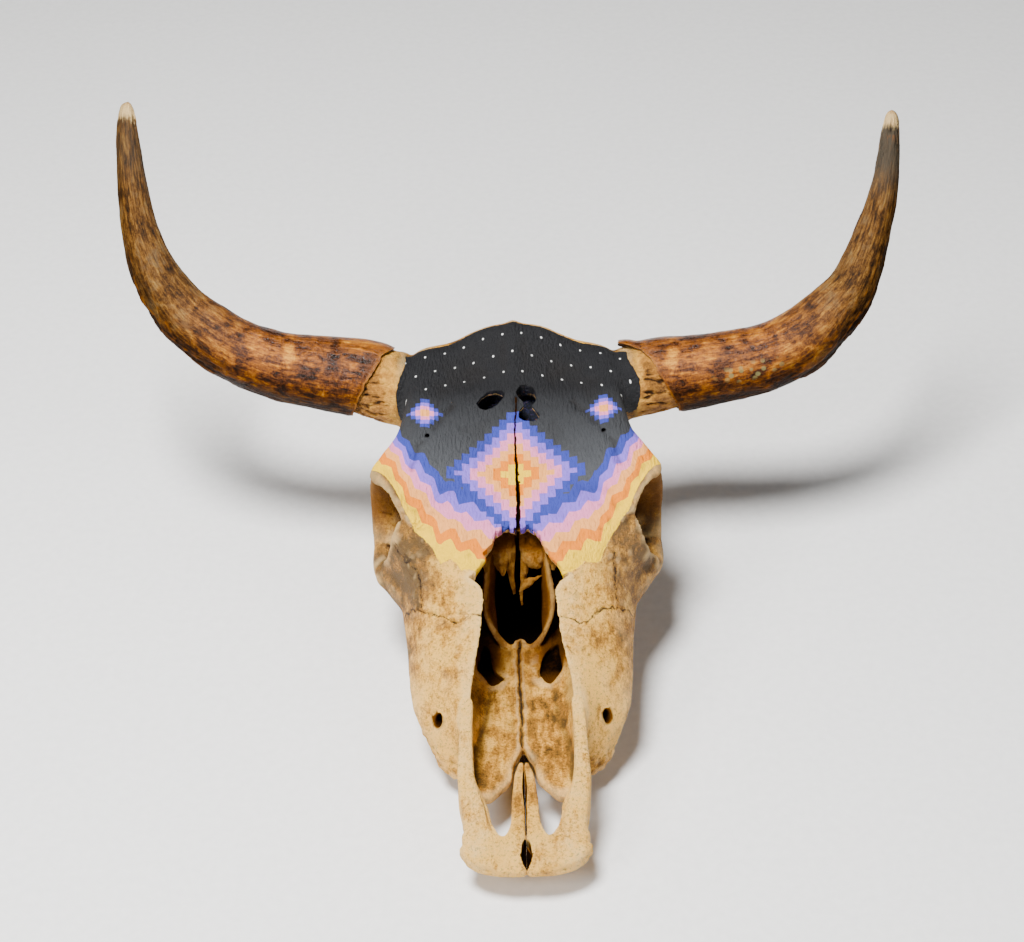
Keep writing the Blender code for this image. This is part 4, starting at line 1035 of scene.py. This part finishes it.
def buildHorn(side, word):
    h = hornShape
    frame = hornFrame(word)
    end, sides = frame["end"], h["sides"]
    turn = 2 * np.pi * np.arange(sides) / sides
    high, near = np.cos(turn) * side, -np.sin(turn)
    spots = np.stack([0 * turn, 30 * high, 30 * near], axis=1)
    allRound, top = h["rimShift"][word]
    flap, lift = h["flap"][word]
    tongue = smoothStep(high, 0.72, 0.93) * smoothStep(0.75 - near, 0, 0.4)
    shift = allRound + top * high + 1.6 * roughness(spots, 9, 3, 90 + side)
    shift = shift + 0.7 * roughness(spots, 2.5, 2, 91 + side)
    shift = shift + tongue * flap * (0.75 + 0.3 * noise(spots, 4, 93))
    s = np.concatenate([np.arange(0, end - h["tipRound"], h["step"]),
                        end - h["tipRound"] * np.cos(np.linspace(0, np.pi / 2, 8))])
    fade = np.clip(1 - s / h["rimFade"], 0, 1) ** 2
    along = s[:, None] - fade[:, None] * shift[None, :]
    radius = np.interp(along, frame["along"], frame["line"][:, 4])
    rounding = np.sqrt(np.clip(1 - (np.clip(along - end + h["tipRound"], 0, None) / h["tipRound"]) ** 2, 0.02, 1))
    nearGrid, highGrid = np.broadcast_to(near, along.shape), np.broadcast_to(high, along.shape)
    relief = hornRelief(along, highGrid, nearGrid, end, 100 + side)
    relief *= smoothStep(end - along, -2, 14) * 0.9 + 0.1
    edge = s[:, None] + 0 * along
    thin = 0.9 * smoothStep(6 - edge, 0, 6)
    curl = lift * tongue * smoothStep(-along, 8, 34)
    outer = hornPlace(frame, along, np.broadcast_to(turn, along.shape), radius * rounding + relief - thin + curl)
    inner = np.arange(0, frame["coreEnd"] + h["coreEndGap"], 4.0)
    fade = np.clip(1 - inner / h["rimFade"], 0, 1) ** 2
    deep = inner[:, None] - fade[:, None] * shift[None, :]
    bore = np.interp(deep, frame["along"], np.maximum(frame["line"][:, 3], 6)) + h["boreGap"]
    bore += smoothStep(8 - inner[:, None], 0, 8) * 0.5 + lift * tongue * smoothStep(-deep, 8, 34)
    bored = hornPlace(frame, deep, np.broadcast_to(turn, deep.shape), bore)
    rings = np.concatenate([outer[::-1], bored])
    flat = np.concatenate([np.stack([along, 30 * highGrid, 30 * nearGrid], -1)[::-1],
                           np.stack([deep - 400, 30 + 0 * deep, 30 + 0 * deep], -1)])
    rimward, tipward = np.concatenate([edge[::-1], 40 + deep]), np.concatenate([end - along[::-1], end - deep])
    sheath = loftedSkin(word + "_horn_sheath", rings, {"hornSpace": flat, "fromRim": rimward, "fromTip": tipward})
    markConvexity(sheath)
    shaded(sheath, 60)
    print("horn sheath", word, ":", len(sheath.data.polygons), "faces,", round(end), "mm long")
    return sheath


# Cheek teeth: lobed crowns with folded enamel on the chewing face

toothShape = {
    "around": 120, "inward": 14, "squareness": 3.2, "lobe": 0.09, "fold": 2.6,
    "swell": [  # z, how much wider than the crown
        (33, -2.4), (28, -0.9), (22, 0), (16, 0.2), (10, 0.1), (5, 0), (2.2, -0.2), (0.9, -0.5), (0.3, -0.9),
    ],
}


def buildTooth(name, side, word):
    t = toothShape
    front, back, middle, half = cheekTeeth[name]
    lobes = 2 if name.startswith("molar") else 1
    reach, cx, cy = (back - front) / 2, side * middle, (front + back) / 2
    turn = 2 * np.pi * (np.arange(t["around"]) + 0.5) / t["around"]
    power = t["squareness"]
    square = (np.abs(np.cos(turn)) ** power + np.abs(np.sin(turn)) ** power) ** (-1 / power)
    u, v = square * np.cos(turn), square * np.sin(turn)  # u across, v along the row, -1 to 1
    pinch = 1 - t["lobe"] * lobes * bump(v if lobes == 2 else np.abs(v) - 1, 0.22)
    styles = 0.05 * bump(np.abs(v) - 0.55, 0.1) * (u * side > 0) + 0.04 * bump(v, 0.07) * (u * side > 0)
    u, v = u * (pinch + styles) * 0.97, v * 0.97
    rings = []
    for z, swell in t["swell"]:
        rings.append(np.stack([cx + u * (half + swell), cy + v * (reach + swell), z + 0 * u], axis=1))
    for k in range(1, t["inward"]):
        share = 1 - k / t["inward"]
        a, b = u * share, v * share
        z = 0.3 + 0 * a
        for lobe in range(lobes):
            centre = 0 if lobes == 1 else (-0.48, 0.48)[lobe]
            w = (b - centre) * (1 if lobes == 1 else 2)
            crescent = np.abs(np.hypot((a + 0.15 * side) / 0.62, w / 0.75) - 0.62) * side
            z = z + t["fold"] * bump(crescent, 0.16) * (a * side < 0.62)
            z = z + 0.35 * bump(np.hypot(a / 0.9, w / 1.1) - 1, 0.2)
        z = np.maximum(z - 0.3 * bump(share - 0.86, 0.07), 0.02)
        rings.append(np.stack([cx + a * (half - 0.9), cy + b * (reach - 0.9), z], axis=1))
    crown = loftedSkin(f"{word}_{name}", rings)
    p, normal = getPoints(crown), getNormals(crown)
    grow = 0.12 * noise(p * (1, 1, 0.2), 1.8, 7) + 0.12 * noise(p * (0.2, 0.2, 1), 2.5, 9)
    grow *= smoothStep(p[:, 2], 1, 4) * smoothStep(33 - p[:, 2], 0, 3)
    setPoints(crown, p + normal * grow[:, None])
    markConvexity(crown)
    return shaded(crown, 50)


# Materials

def linear(code):  # sRGB hex to the linear colour that a shader takes
    parts = [int(code[i:i + 2], 16) / 255 for i in (1, 3, 5)]
    return (*[p / 12.92 if p <= 0.04045 else ((p + 0.055) / 1.055) ** 2.4 for p in parts], 1)


def addNode(tree, kind, inputs=(), output=0, stops=(), constant=False, **settings):
    # inputs come in the node's own order, or with their names; stops are a ramp's places and colours
    node = tree.nodes.new("ShaderNode" + kind)
    for key, value in settings.items():
        setattr(node, key, value)
    for key, value in inputs.items() if isinstance(inputs, dict) else enumerate(inputs):
        if isinstance(value, bpy.types.NodeSocket):
            tree.links.new(value, node.inputs[key])
        else:
            node.inputs[key].default_value = linear(value) if isinstance(value, str) else value
    for i, (place, colour) in enumerate(stops):
        ramp = node.color_ramp
        stop = ramp.elements[i] if i < 2 else ramp.elements.new(place)
        stop.position = place
        stop.color = linear(colour) if isinstance(colour, str) else (colour, colour, colour, 1)
    if constant:
        node.color_ramp.interpolation = "CONSTANT"
    return node.outputs[output]


def startMaterial(name):
    material = bpy.data.materials.new(name)
    material.use_nodes = True
    tree = material.node_tree
    return material, tree, tree.nodes["Principled BSDF"]


def finishMaterial(material, tree, shader, colour, roughness, height, distance):
    tree.links.new(colour, shader.inputs["Base Color"])
    tree.links.new(roughness, shader.inputs["Roughness"])
    bumped = addNode(tree, "Bump", {"Height": height, "Strength": 1.0, "Distance": distance})
    tree.links.new(bumped, shader.inputs["Normal"])
    return material


boneLook = {  # a dry, weathered cattle bone: chalky, stained with soil and oil, its pores filled with dirt
    # inside: brown to near black, the painted shade of the insides
    "rubbedAndLit": "#ffd690", "brown": "#584016", "grey": "#775c3c", "dirt": "#1a0d05", "inside": ("#744410", "#080301"),
    "stains": [(0.04, "#fcc258"), (0.36, "#dc9d38"), (0.66, "#a66e20"), (1.0, "#584016")],
    "core": [(0.56, "#ecb048"), (0.72, "#b87c30"), (0.92, "#4a2a10")],
    "sinus": [(0.5, "#05070f"), (0.6, "#12183a"), (0.68, "#5a3614")],
    "patch": 0.045, "stain": 0.011, "streak": 0.004, "speck": 0.0022, "pore": 0.0011, "plate": 0.032,  # metres
    "jag": 0.003, "paintEdge": 0.004, "brush": 0.0022, "wobble": 0.00625, "bend": 0.012,
    "bump": 0.003,
}


def boneColour(tree, place, curvature):
    # three sizes of stain over cream, specks of dirt in the pores, paler bone on ridges and edges (partly rubbed
    # wear, partly painted highlight) and browner hollows (partly dirt, partly painted shade)
    b = boneLook
    ochre, grey = [addNode(tree, "Attribute", output="Fac", attribute_name=name)
                   for name in ("ochreZone", "greyZone")]
    drawn = addNode(tree, "Mapping", {"Vector": place, "Scale": (1, 0.22, 0.5)})
    large, middle, streak, speck = [
        addNode(tree, "TexNoise", {"Vector": spot, "Scale": 1 / b[name], "Detail": detail, "Roughness": rough})
        for name, spot, detail, rough in (("patch", place, 9, 0.66), ("stain", place, 10, 0.78),
                                          ("streak", drawn, 6, 0.72), ("speck", place, 5, 0.78))]
    pore = addNode(tree, "TexVoronoi", {"Vector": place, "Scale": 1 / b["pore"], "Randomness": 1.0})
    tint = 0.0
    for pattern, weight in ((ochre, 0.2), (large, 1.25), (middle, 1.1), (streak, 0.8), (speck, 0.6)):
        tint = addNode(tree, "Math", (pattern, weight, tint), operation="MULTIPLY_ADD")
    tint = addNode(tree, "MapRange", (tint, 1.78, 2.32))
    colour = addNode(tree, "ValToRGB", [tint], stops=b["stains"])
    wobble = addNode(tree, "TexNoise", {"Vector": place, "Scale": 1 / b["wobble"], "Detail": 4}, "Color")
    bent = addNode(tree, "VectorMath", (wobble, [b["bend"]] * 3, place), operation="MULTIPLY_ADD")
    crack = addNode(tree, "TexVoronoi", {"Vector": bent, "Scale": 1 / b["plate"]}, feature="DISTANCE_TO_EDGE")
    # value, the ends of its range, and what they stand for (0 and 1 where nothing is said)
    bleached, spared, greyed, dirty, dots, patchy, crack, where, rubbedAndLit, sunk = [
        addNode(tree, "MapRange", limits)
        for limits in ((ochre, 0, -1.2, 0, 0.9), (middle, 0.4, 0.58, 1, 0.1), (middle, 0.3, 0.7, 0.15, 0.8),
                       (speck, 0.53, 0.66, 0, 0.7), (pore, 0.24, 0.1, 0, 0.8), (middle, 0.48, 0.62),
                       (crack, 0.008, 0.003, 0, 0.55), (large, 0.58, 0.64),
                       (curvature, 0.12, 0.6, 0, 0.42), (curvature, -0.06, -0.6, 0, 0.9))]
    bleached, grey, dots, crack = [
        addNode(tree, "Math", pair, operation="MULTIPLY")
        for pair in ((bleached, spared), (grey, greyed), (dots, patchy), (crack, where))]
    for share, over in ((bleached, "rubbedAndLit"), (grey, "grey"), (dirty, "brown"), (dots, "dirt"), (crack, "dirt"),
                        (rubbedAndLit, "rubbedAndLit"), (sunk, "brown")):
        colour = addNode(tree, "Mix", {0: share, 6: colour, 7: b[over]}, 2, data_type="RGBA")
    return colour, middle, speck, pore, crack


def makeBone():
    b = boneLook
    material, tree, shader = startMaterial("weathered bone")
    place = addNode(tree, "TexCoord", output="Object")
    inside, core, suture, depth, sinus, curvature = [
        addNode(tree, "Attribute", output="Fac", attribute_name=name)
        for name in ("shadeAndDirtZone", "coreZone", "sutureDistance", "paintDepth", "sinusZone", "convexity")]
    colour, middle, speck, pore, crack = boneColour(tree, place, curvature)
    # painted shade: the insides go from brown to near black
    gloom = addNode(tree, "Math", (inside, 0.9, -1.2), operation="MULTIPLY_ADD")
    gloom = addNode(tree, "Math", (middle, 0.8, gloom), operation="MULTIPLY_ADD", use_clamp=True)
    dark = addNode(tree, "Mix", {0: gloom, 6: b["inside"][0], 7: b["inside"][1]}, 2, data_type="RGBA")
    coreTone = addNode(tree, "Math", (core, 0.14, middle), operation="MULTIPLY_ADD")
    coreTone = addNode(tree, "ValToRGB", [coreTone], stops=b["core"])
    pits = addNode(tree, "MapRange", (curvature, 0, -0.5, 0, 0.9))
    coreTone = addNode(tree, "Mix", {0: pits, 6: coreTone, 7: b["dirt"]}, 2, data_type="RGBA")
    inside, core = [addNode(tree, "Math", (zone, 1.0), operation="MINIMUM") for zone in (inside, core)]
    jag = addNode(tree, "TexNoise", {"Vector": place, "Scale": 1 / b["jag"], "Detail": 3, "Roughness": 0.7})
    line = addNode(tree, "Math", (jag, -1.6, suture), operation="MULTIPLY_ADD")
    line = addNode(tree, "MapRange", (line, 0.1, -0.5, 0, 0.9))

    # the painted field: its edge wanders by about a millimetre, and a few chips show the bone
    edge = addNode(tree, "TexNoise", {"Vector": place, "Scale": 1 / b["paintEdge"], "Detail": 3})
    edge = addNode(tree, "Math", (edge, 2.4, depth), operation="MULTIPLY_ADD")
    painted, chips = [addNode(tree, "MapRange", limits) for limits in ((edge, 1.1, 1.45), (speck, 0.73, 0.71))]
    painted = addNode(tree, "Math", (painted, chips), operation="MULTIPLY")
    paint = paintColour(tree, place, curvature)
    # sinus hollows: blue paint that ran inside, going to near black as painted shade
    sinusTone = addNode(tree, "ValToRGB", [jag], stops=b["sinus"])
    for share, over in ((inside, dark), (core, coreTone), (line, b["dirt"]), (painted, paint), (sinus, sinusTone)):
        colour = addNode(tree, "Mix", {0: share, 6: colour, 7: over}, 2, data_type="RGBA")
    brush = addNode(tree, "Mapping", {"Vector": place, "Rotation": (0, 0, 0.5), "Scale": (1, 0.2, 1)})
    brush = addNode(tree, "TexNoise", {"Vector": brush, "Scale": 1 / b["brush"], "Detail": 3})
    coat = addNode(tree, "Math", (speck, 0.55, brush), operation="MULTIPLY_ADD")
    height = middle
    for pattern, weight in ((speck, 0.9), (pore, 0.35), (crack, -0.8)):
        height = addNode(tree, "Math", (pattern, weight, height), operation="MULTIPLY_ADD")
    height = addNode(tree, "Mix", {0: painted, 2: height, 3: coat})
    rough = addNode(tree, "MapRange", (middle, 0.3, 0.7, 0.5, 0.75))
    sheen = addNode(tree, "MapRange", (inside, 0, 1, 0.25, 0.02))  # chalky; dull in the painted shade of the insides, which keeps it dark
    tree.links.new(sheen, shader.inputs["Specular IOR Level"])
    return finishMaterial(material, tree, shader, colour, rough, height, b["bump"])


paintLook = {  # matt acrylic brushed on bare bone, thin enough to show its grain
    "rings": ["#ffcc00", "#f08200", "#f7a456", "#ea86b0", "#8667d8", "#38419c"],  # from the middle outwards
    "black": "#18181a", "slate": "#4a4c4f", "white": "#f2f2ee", "hollowDark": "#191512",
    "diamonds": [  # half width, half length, middle y, middle x, width of a step, how far it is drawn in
        (60, 64, 314, 0, 6.5, 0.0), (20, 24, 374, 77, 3.9, 0.32)],
    "tooth": (11, 5), "border": 60, "dotGap": 17, "dot": 0.05, "dotRows": 3,
    "crown": (-0.0028, 459),  # its curve and its height in the middle, which the rows of dots follow
    "wobble": 0.012, "hand": 0.0024, "brush": 0.004,
}


def paintColour(tree, place, curvature):
    # stepped diamonds, a saw-toothed border along the brows and rows of dots that follow the crown
    e = paintLook
    wobble = addNode(tree, "TexNoise", {"Vector": place, "Scale": 1 / e["wobble"], "Detail": 2}, "Color")
    hand = addNode(tree, "VectorMath", (wobble, [e["hand"]] * 3, place), operation="MULTIPLY_ADD")
    back = [-shift - 1.2 for shift in frameShift[:2]]  # to the photo's middle, less the wobble's mean
    spot = addNode(tree, "Mapping", {"Vector": hand, "Scale": (1000, 1000, 1000), "Location": (*back, 0)})
    x, y = [addNode(tree, "SeparateXYZ", [spot], i) for i in (0, 1)]
    aside = addNode(tree, "Math", [x], operation="ABSOLUTE")
    shares = []
    for half, length, middle, centre, stair, drawnIn in e["diamonds"]:
        across, along = [addNode(tree, "Math", pair, operation="SUBTRACT") for pair in ((aside, centre), (y, middle))]
        across, along = [addNode(tree, "Math", [way], operation="ABSOLUTE") for way in (across, along)]
        across = addNode(tree, "Math", (across, stair), operation="SNAP")
        across = addNode(tree, "Math", (across, 1 / half, drawnIn), operation="MULTIPLY_ADD")
        shares.append(addNode(tree, "Math", (along, 1 / length, across), operation="MULTIPLY_ADD"))
    share = addNode(tree, "Math", shares, operation="MINIMUM")

    run = addNode(tree, "Math", (y, 0.6, aside), operation="MULTIPLY_ADD")
    tooth = addNode(tree, "Math", (run, e["tooth"][0]), operation="PINGPONG")
    band = addNode(tree, "Attribute", output="Fac", attribute_name="frontDepth")
    for pattern, weight in ((wobble, 2.0), (tooth, -e["tooth"][1] / e["tooth"][0])):
        band = addNode(tree, "Math", (pattern, weight, band), operation="MULTIPLY_ADD")
    band = addNode(tree, "Math", (band, 1 / e["border"]), operation="MULTIPLY")
    first, *rings = e["rings"]
    diamonds, border = [
        addNode(tree, "ValToRGB", [value], constant=True, stops=[
            (0, first), *[(0.15 + step * i, ring) for i, ring in enumerate(rings)], (end, e["black"])])
        for value, step, end in ((share, 0.16, 0.96), (band, 0.14, 0.86))]
    inside, edged = [addNode(tree, "Math", pair, operation="LESS_THAN") for pair in ((share, 0.955), (band, 0.86))]

    crown = addNode(tree, "Math", (x, x), operation="MULTIPLY")
    crown = addNode(tree, "Math", (crown, *e["crown"]), operation="MULTIPLY_ADD")
    crown = addNode(tree, "Math", (crown, y), operation="SUBTRACT")
    across, down = [addNode(tree, "Math", (way, 1 / e["dotGap"]), operation="MULTIPLY") for way in (x, crown)]
    row = addNode(tree, "Math", [down], operation="FLOOR")
    across = addNode(tree, "Math", (row, 0.5, across), operation="MULTIPLY_ADD")  # each row half a gap further
    cell = addNode(tree, "CombineXYZ", [addNode(tree, "Math", [way], operation="FRACT") for way in (across, down)])
    dot = addNode(tree, "VectorMath", (cell, (0.5, 0.5, 0)), "Value", operation="DISTANCE")
    lower, dot, dull = [addNode(tree, "MapRange", limits) for limits in (
        (y, 400, 300), (dot, e["dot"] + 0.012, e["dot"] - 0.012), (curvature, 0, -0.6, 0, 0.55))]
    dotted = addNode(tree, "Math", (crown, e["dotGap"] * e["dotRows"]), operation="LESS_THAN")
    dot = addNode(tree, "Math", (dot, dotted), operation="MULTIPLY")
    brushed = addNode(tree, "Mapping", {"Vector": place, "Rotation": (0, 0, 0.5), "Scale": (1, 0.25, 1)})
    brushed = addNode(tree, "TexNoise", {"Vector": brushed, "Scale": 1 / e["brush"], "Detail": 5, "Roughness": 0.7})
    tone = addNode(tree, "ValToRGB", [brushed], stops=[(0.3, 0.86), (0.7, 1.0)])
    colour = e["black"]
    # the paint goes darker in its hollows
    for share, over, blend in ((lower, e["slate"], "MIX"), (dot, e["white"], "MIX"), (edged, border, "MIX"),
                               (inside, diamonds, "MIX"), (1.0, tone, "MULTIPLY"), (dull, e["hollowDark"], "MIX")):
        colour = addNode(tree, "Mix", {0: share, 6: colour, 7: over}, 2, data_type="RGBA", blend_type=blend)
    return colour


hornLook = {  # cattle horn, weathered keratin: amber and glossy where it is thin, dull and fibrous further out
    "near": [(0.12, "#140802"), (0.36, "#4a2408"), (0.62, "#8e500e"), (0.96, "#cc8c24")],
    "far": [(0.12, "#181008"), (0.36, "#42290f"), (0.62, "#6e4a1e"), (0.96, "#a07a38")],
    "rim": [(0.44, "#2a1608"), (0.6, "#a8742c")], "raised": "#8e500e",
    # under: painted shade on the underside and in the hollows
    "under": "#120803", "grey": ("#1a1815", "#554c3e"), "bleached": ("#a07c46", "#e2c690"), "lichen": "#7a7448",
    "lichenAt": (78, -8, 26), "lichenSize": (36, 9, 20), "bore": "#4a2c12",
    "blotch": 20, "fibre": 3.0, "flake": 6.5, "speck": 1.4, "spots": 6.5,  # mm
    "bump": 0.0016,
}


def makeHorn():
    h = hornLook
    material, tree, shader = startMaterial("weathered horn")
    space = addNode(tree, "Attribute", output="Vector", attribute_name="hornSpace")
    s, high = [addNode(tree, "SeparateXYZ", [space], i) for i in (0, 1)]
    fromTip, fromRim, curvature = [addNode(tree, "Attribute", output="Fac", attribute_name=name)
                              for name in ("fromTip", "fromRim", "convexity")]
    side = addNode(tree, "SeparateXYZ", [addNode(tree, "TexCoord", output="Object")])
    left = addNode(tree, "Math", (side, 0.0), operation="GREATER_THAN")
    seeded = addNode(tree, "CombineXYZ", [left])
    seeded = addNode(tree, "VectorMath", (seeded, (57, 0, 0), space), operation="MULTIPLY_ADD")
    drawn, short = [addNode(tree, "Mapping", {"Vector": seeded, "Scale": (run, 1, 1)}) for run in (0.12, 0.45)]
    blotch, fibre, flake, speck = [
        addNode(tree, "TexNoise", {"Vector": spot, "Scale": 1 / h[name], "Detail": detail, "Roughness": rough,
                                   "Distortion": twist})
        for name, spot, detail, rough, twist in (("blotch", seeded, 6, 0.68, 0), ("fibre", drawn, 6, 0.75, 0),
                                                 ("flake", short, 8, 0.72, 0.8), ("speck", seeded, 4, 0.7, 0))]
    tone = -1.86
    for pattern, weight in ((blotch, 1.7), (flake, 1.15), (fibre, 1.2), (speck, 0.6)):
        tone = addNode(tree, "Math", (pattern, weight, tone), operation="MULTIPLY_ADD")
    near, far = [addNode(tree, "ValToRGB", [tone], stops=h[key]) for key in ("near", "far")]
    rimTone = addNode(tree, "ValToRGB", [flake], stops=h["rim"])
    greyFibre, paleTip = [addNode(tree, "Mix", {0: pattern, 6: dark, 7: light}, 2, data_type="RGBA")
                          for pattern, (dark, light) in ((fibre, h["grey"]), (speck, h["bleached"]))]
    ragged, below = [addNode(tree, "Math", (flake, 30, value), operation="MULTIPLY_ADD") for value in (fromTip, high)]
    # lichen on the front of the left horn: small round patches of grey green
    spot = addNode(tree, "VectorMath", (space, h["lichenAt"]), operation="SUBTRACT")
    spot = addNode(tree, "VectorMath", (spot, [1 / size for size in h["lichenSize"]]), operation="MULTIPLY")
    spot = addNode(tree, "VectorMath", [spot], "Value", operation="LENGTH")
    disc = addNode(tree, "TexVoronoi", {"Vector": space, "Scale": 1 / h["spots"]})
    # value, the ends of its range, and what they stand for (0 and 1 where nothing is said)
    shareFar, isGrey, patches, isTip, under, nearer, patch, disc, rimLine, sunk, raised, bore, rough, lit = [
        addNode(tree, "MapRange", limits)
        for limits in ((s, 100, 190), (ragged, 96, 60), (blotch, 0.52, 0.62, 0, 0.6), (ragged, 31, 26),
                       (below, 10, -12, 0, 0.96), (s, 270, 180, 0.45), (spot, 1.0, 0.6), (disc, 0.4, 0.3, 0, 0.65),
                       (fromRim, 2.2, 0.4, 0, 0.75), (curvature, -0.08, -0.45, 0, 0.75), (curvature, 0.08, 0.4, 0, 0.45),
                       (s, -60, -80), (tone, 0, 1, 0.24, 0.38), (high, -16, 4, 0.1))]
    sheen = addNode(tree, "MapRange", (shareFar, 0, 1, 0.3, 0.12))  # waxy near the head, dry further out
    band = addNode(tree, "Math", (left, 0.55, 0.4), operation="MULTIPLY_ADD")
    # lit cuts the sheen on the underside, so that reflections don't lighten its painted shade
    isGrey, patches, under, patch, sheen = [
        addNode(tree, "Math", pair, operation="MULTIPLY")
        for pair in ((isGrey, band), (patches, shareFar), (under, nearer), (patch, disc), (sheen, lit))]
    patch = addNode(tree, "Math", (patch, left), operation="MULTIPLY")
    isGrey = addNode(tree, "Math", (isGrey, patches), operation="MAXIMUM")
    # the far horn, grey fibres towards the tip, the pale tip, painted shade on the underside, lichen, rim, painted
    # shade in the hollows, ridges, bore
    colour = near
    for share, over in ((shareFar, far), (isGrey, greyFibre), (isTip, paleTip), (under, h["under"]),
                        (patch, h["lichen"]), (rimLine, rimTone), (sunk, h["under"]), (raised, h["raised"]),
                        (bore, h["bore"])):
        colour = addNode(tree, "Mix", {0: share, 6: colour, 7: over}, 2, data_type="RGBA")
    dull = addNode(tree, "Math", (shareFar, 0.34, rough), operation="MULTIPLY_ADD")
    height = flake
    for pattern, weight in ((fibre, 0.6), (speck, 0.35)):
        height = addNode(tree, "Math", (pattern, weight, height), operation="MULTIPLY_ADD")
    tree.links.new(sheen, shader.inputs["Specular IOR Level"])
    return finishMaterial(material, tree, shader, colour, dull, height, h["bump"])


enamelLook = {  # ivory enamel under brown tartar, which is thickest in the grooves and near the gum
    "tartar": [(0.3, "#e2c48a"), (0.52, "#b88a4c"), (0.74, "#5c3d1c")], "groove": "#3b2410",
    "stain": 0.009, "bump": 0.0002,
}


def makeEnamel():
    m = enamelLook
    material, tree, shader = startMaterial("stained enamel")
    place = addNode(tree, "TexCoord", output="Object")
    drawn = addNode(tree, "Mapping", {"Vector": place, "Scale": (1, 1, 0.3)})
    stain = addNode(tree, "TexNoise", {"Vector": drawn, "Scale": 1 / m["stain"], "Detail": 5, "Roughness": 0.6})
    colour = addNode(tree, "ValToRGB", [stain], stops=m["tartar"])
    curvature = addNode(tree, "Attribute", output="Fac", attribute_name="convexity")
    sunk, rough = [addNode(tree, "MapRange", limits)
                   for limits in ((curvature, 0, -0.3, 0, 0.9), (stain, 0.35, 0.6, 0.25, 0.6))]
    colour = addNode(tree, "Mix", {0: sunk, 6: colour, 7: m["groove"]}, 2, data_type="RGBA")
    return finishMaterial(material, tree, shader, colour, rough, stain, m["bump"])


# The pieces, each on the body and in place of the node that it stands for

def stand(piece, node, material):
    low, high = [np.array(corner) / mm - frameShift for corner in cadBox]
    setPoints(piece, np.clip(getPoints(piece), low, high))  # relief stays inside the CAD box
    piece.data.materials.clear()
    piece.data.materials.append(material)
    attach(piece, "root")
    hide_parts(node)


bone, hornStuff, enamel = makeBone(), makeHorn(), makeEnamel()
skull = buildSkull()
stand(skull, "skull", bone)
stand(buildScrolls(), "skull", bone)
for side, word in ((1, "left"), (-1, "right")):
    stand(buildIncisive(side, word), "incisive_bone_" + word, bone)
    stand(buildHorn(side, word), "horn_sheath_" + word, hornStuff)
    for toothName in cheekTeeth:
        stand(buildTooth(toothName, side, word), f"{toothName}_{word}", enamel)
print("bones, horns and teeth are in place")


# Floor, lights and camera

studio = {
    "floor": ("#f4f3f1", "#e3e2e0"), "world": "#f4f6fb", "worldStrength": 0.06,
    "lights": [  # name, place, aims at, size, watts
        ("key", (-0.45, -0.5, 2.3), (0, 0.0, 0.12), 0.7, 148),
        ("left", (-1.5, -1.5, 1.6), (0, 0, 0.15), 0.9, 42),
        ("right", (1.6, -1.3, 1.6), (0, 0, 0.15), 0.9, 12),
    ],
    "lens": 80.02, "camera": (-0.003566, -1.43854, 1.4171), "tilt": 40, "roll": 1.55,
}


def makeStudio():
    s = studio
    deselectAll()
    bpy.ops.mesh.primitive_plane_add(size=8, location=(0, 0, 0))
    floor = bpy.context.object
    floor.name = "floor"
    material, tree, shader = startMaterial("matt floor")
    place = addNode(tree, "TexCoord", output="Object")
    grain = addNode(tree, "TexNoise", {"Vector": place, "Scale": 120, "Detail": 3})
    colour = addNode(tree, "Mix", {0: grain, 6: s["floor"][0], 7: s["floor"][1]}, 2, data_type="RGBA")
    rough = addNode(tree, "MapRange", (grain, 0, 1, 0.8, 0.9))
    floor.data.materials.append(finishMaterial(material, tree, shader, colour, rough, grain, 0.0001))
    world = bpy.data.worlds.new("studio")
    world.use_nodes = True
    background = world.node_tree.nodes["Background"]
    background.inputs["Color"].default_value = linear(s["world"])
    background.inputs["Strength"].default_value = s["worldStrength"]
    bpy.context.scene.world = world
    for name, place, target, size, watts in s["lights"]:
        lamp = bpy.data.lights.new(name, "AREA")
        lamp.shape, lamp.size, lamp.energy = "DISK", size, watts
        holder = bpy.data.objects.new(name, lamp)
        bpy.context.collection.objects.link(holder)
        holder.location = place
        holder.rotation_euler = (Vector(target) - Vector(place)).to_track_quat("-Z", "Y").to_euler()
    tilt, roll = math.radians(s["tilt"]), math.radians(s["roll"])
    up = Vector((0, math.sin(tilt), math.cos(tilt)))
    back = Vector((0, -math.cos(tilt), math.sin(tilt)))
    right = Vector((1, 0, 0)) * math.cos(roll) - up * math.sin(roll)
    above = Vector((1, 0, 0)) * math.sin(roll) + up * math.cos(roll)
    lens = bpy.data.cameras.new("camera")
    lens.lens, lens.sensor_width, lens.sensor_fit = s["lens"], 36, "HORIZONTAL"
    camera = bpy.data.objects.new("camera", lens)
    bpy.context.collection.objects.link(camera)
    turn = Matrix((right, above, back)).transposed()
    camera.matrix_world = Matrix.Translation(s["camera"]) @ turn.to_4x4()
    bpy.context.scene.camera = camera


makeStudio()
print("floor, lights and camera are in place")
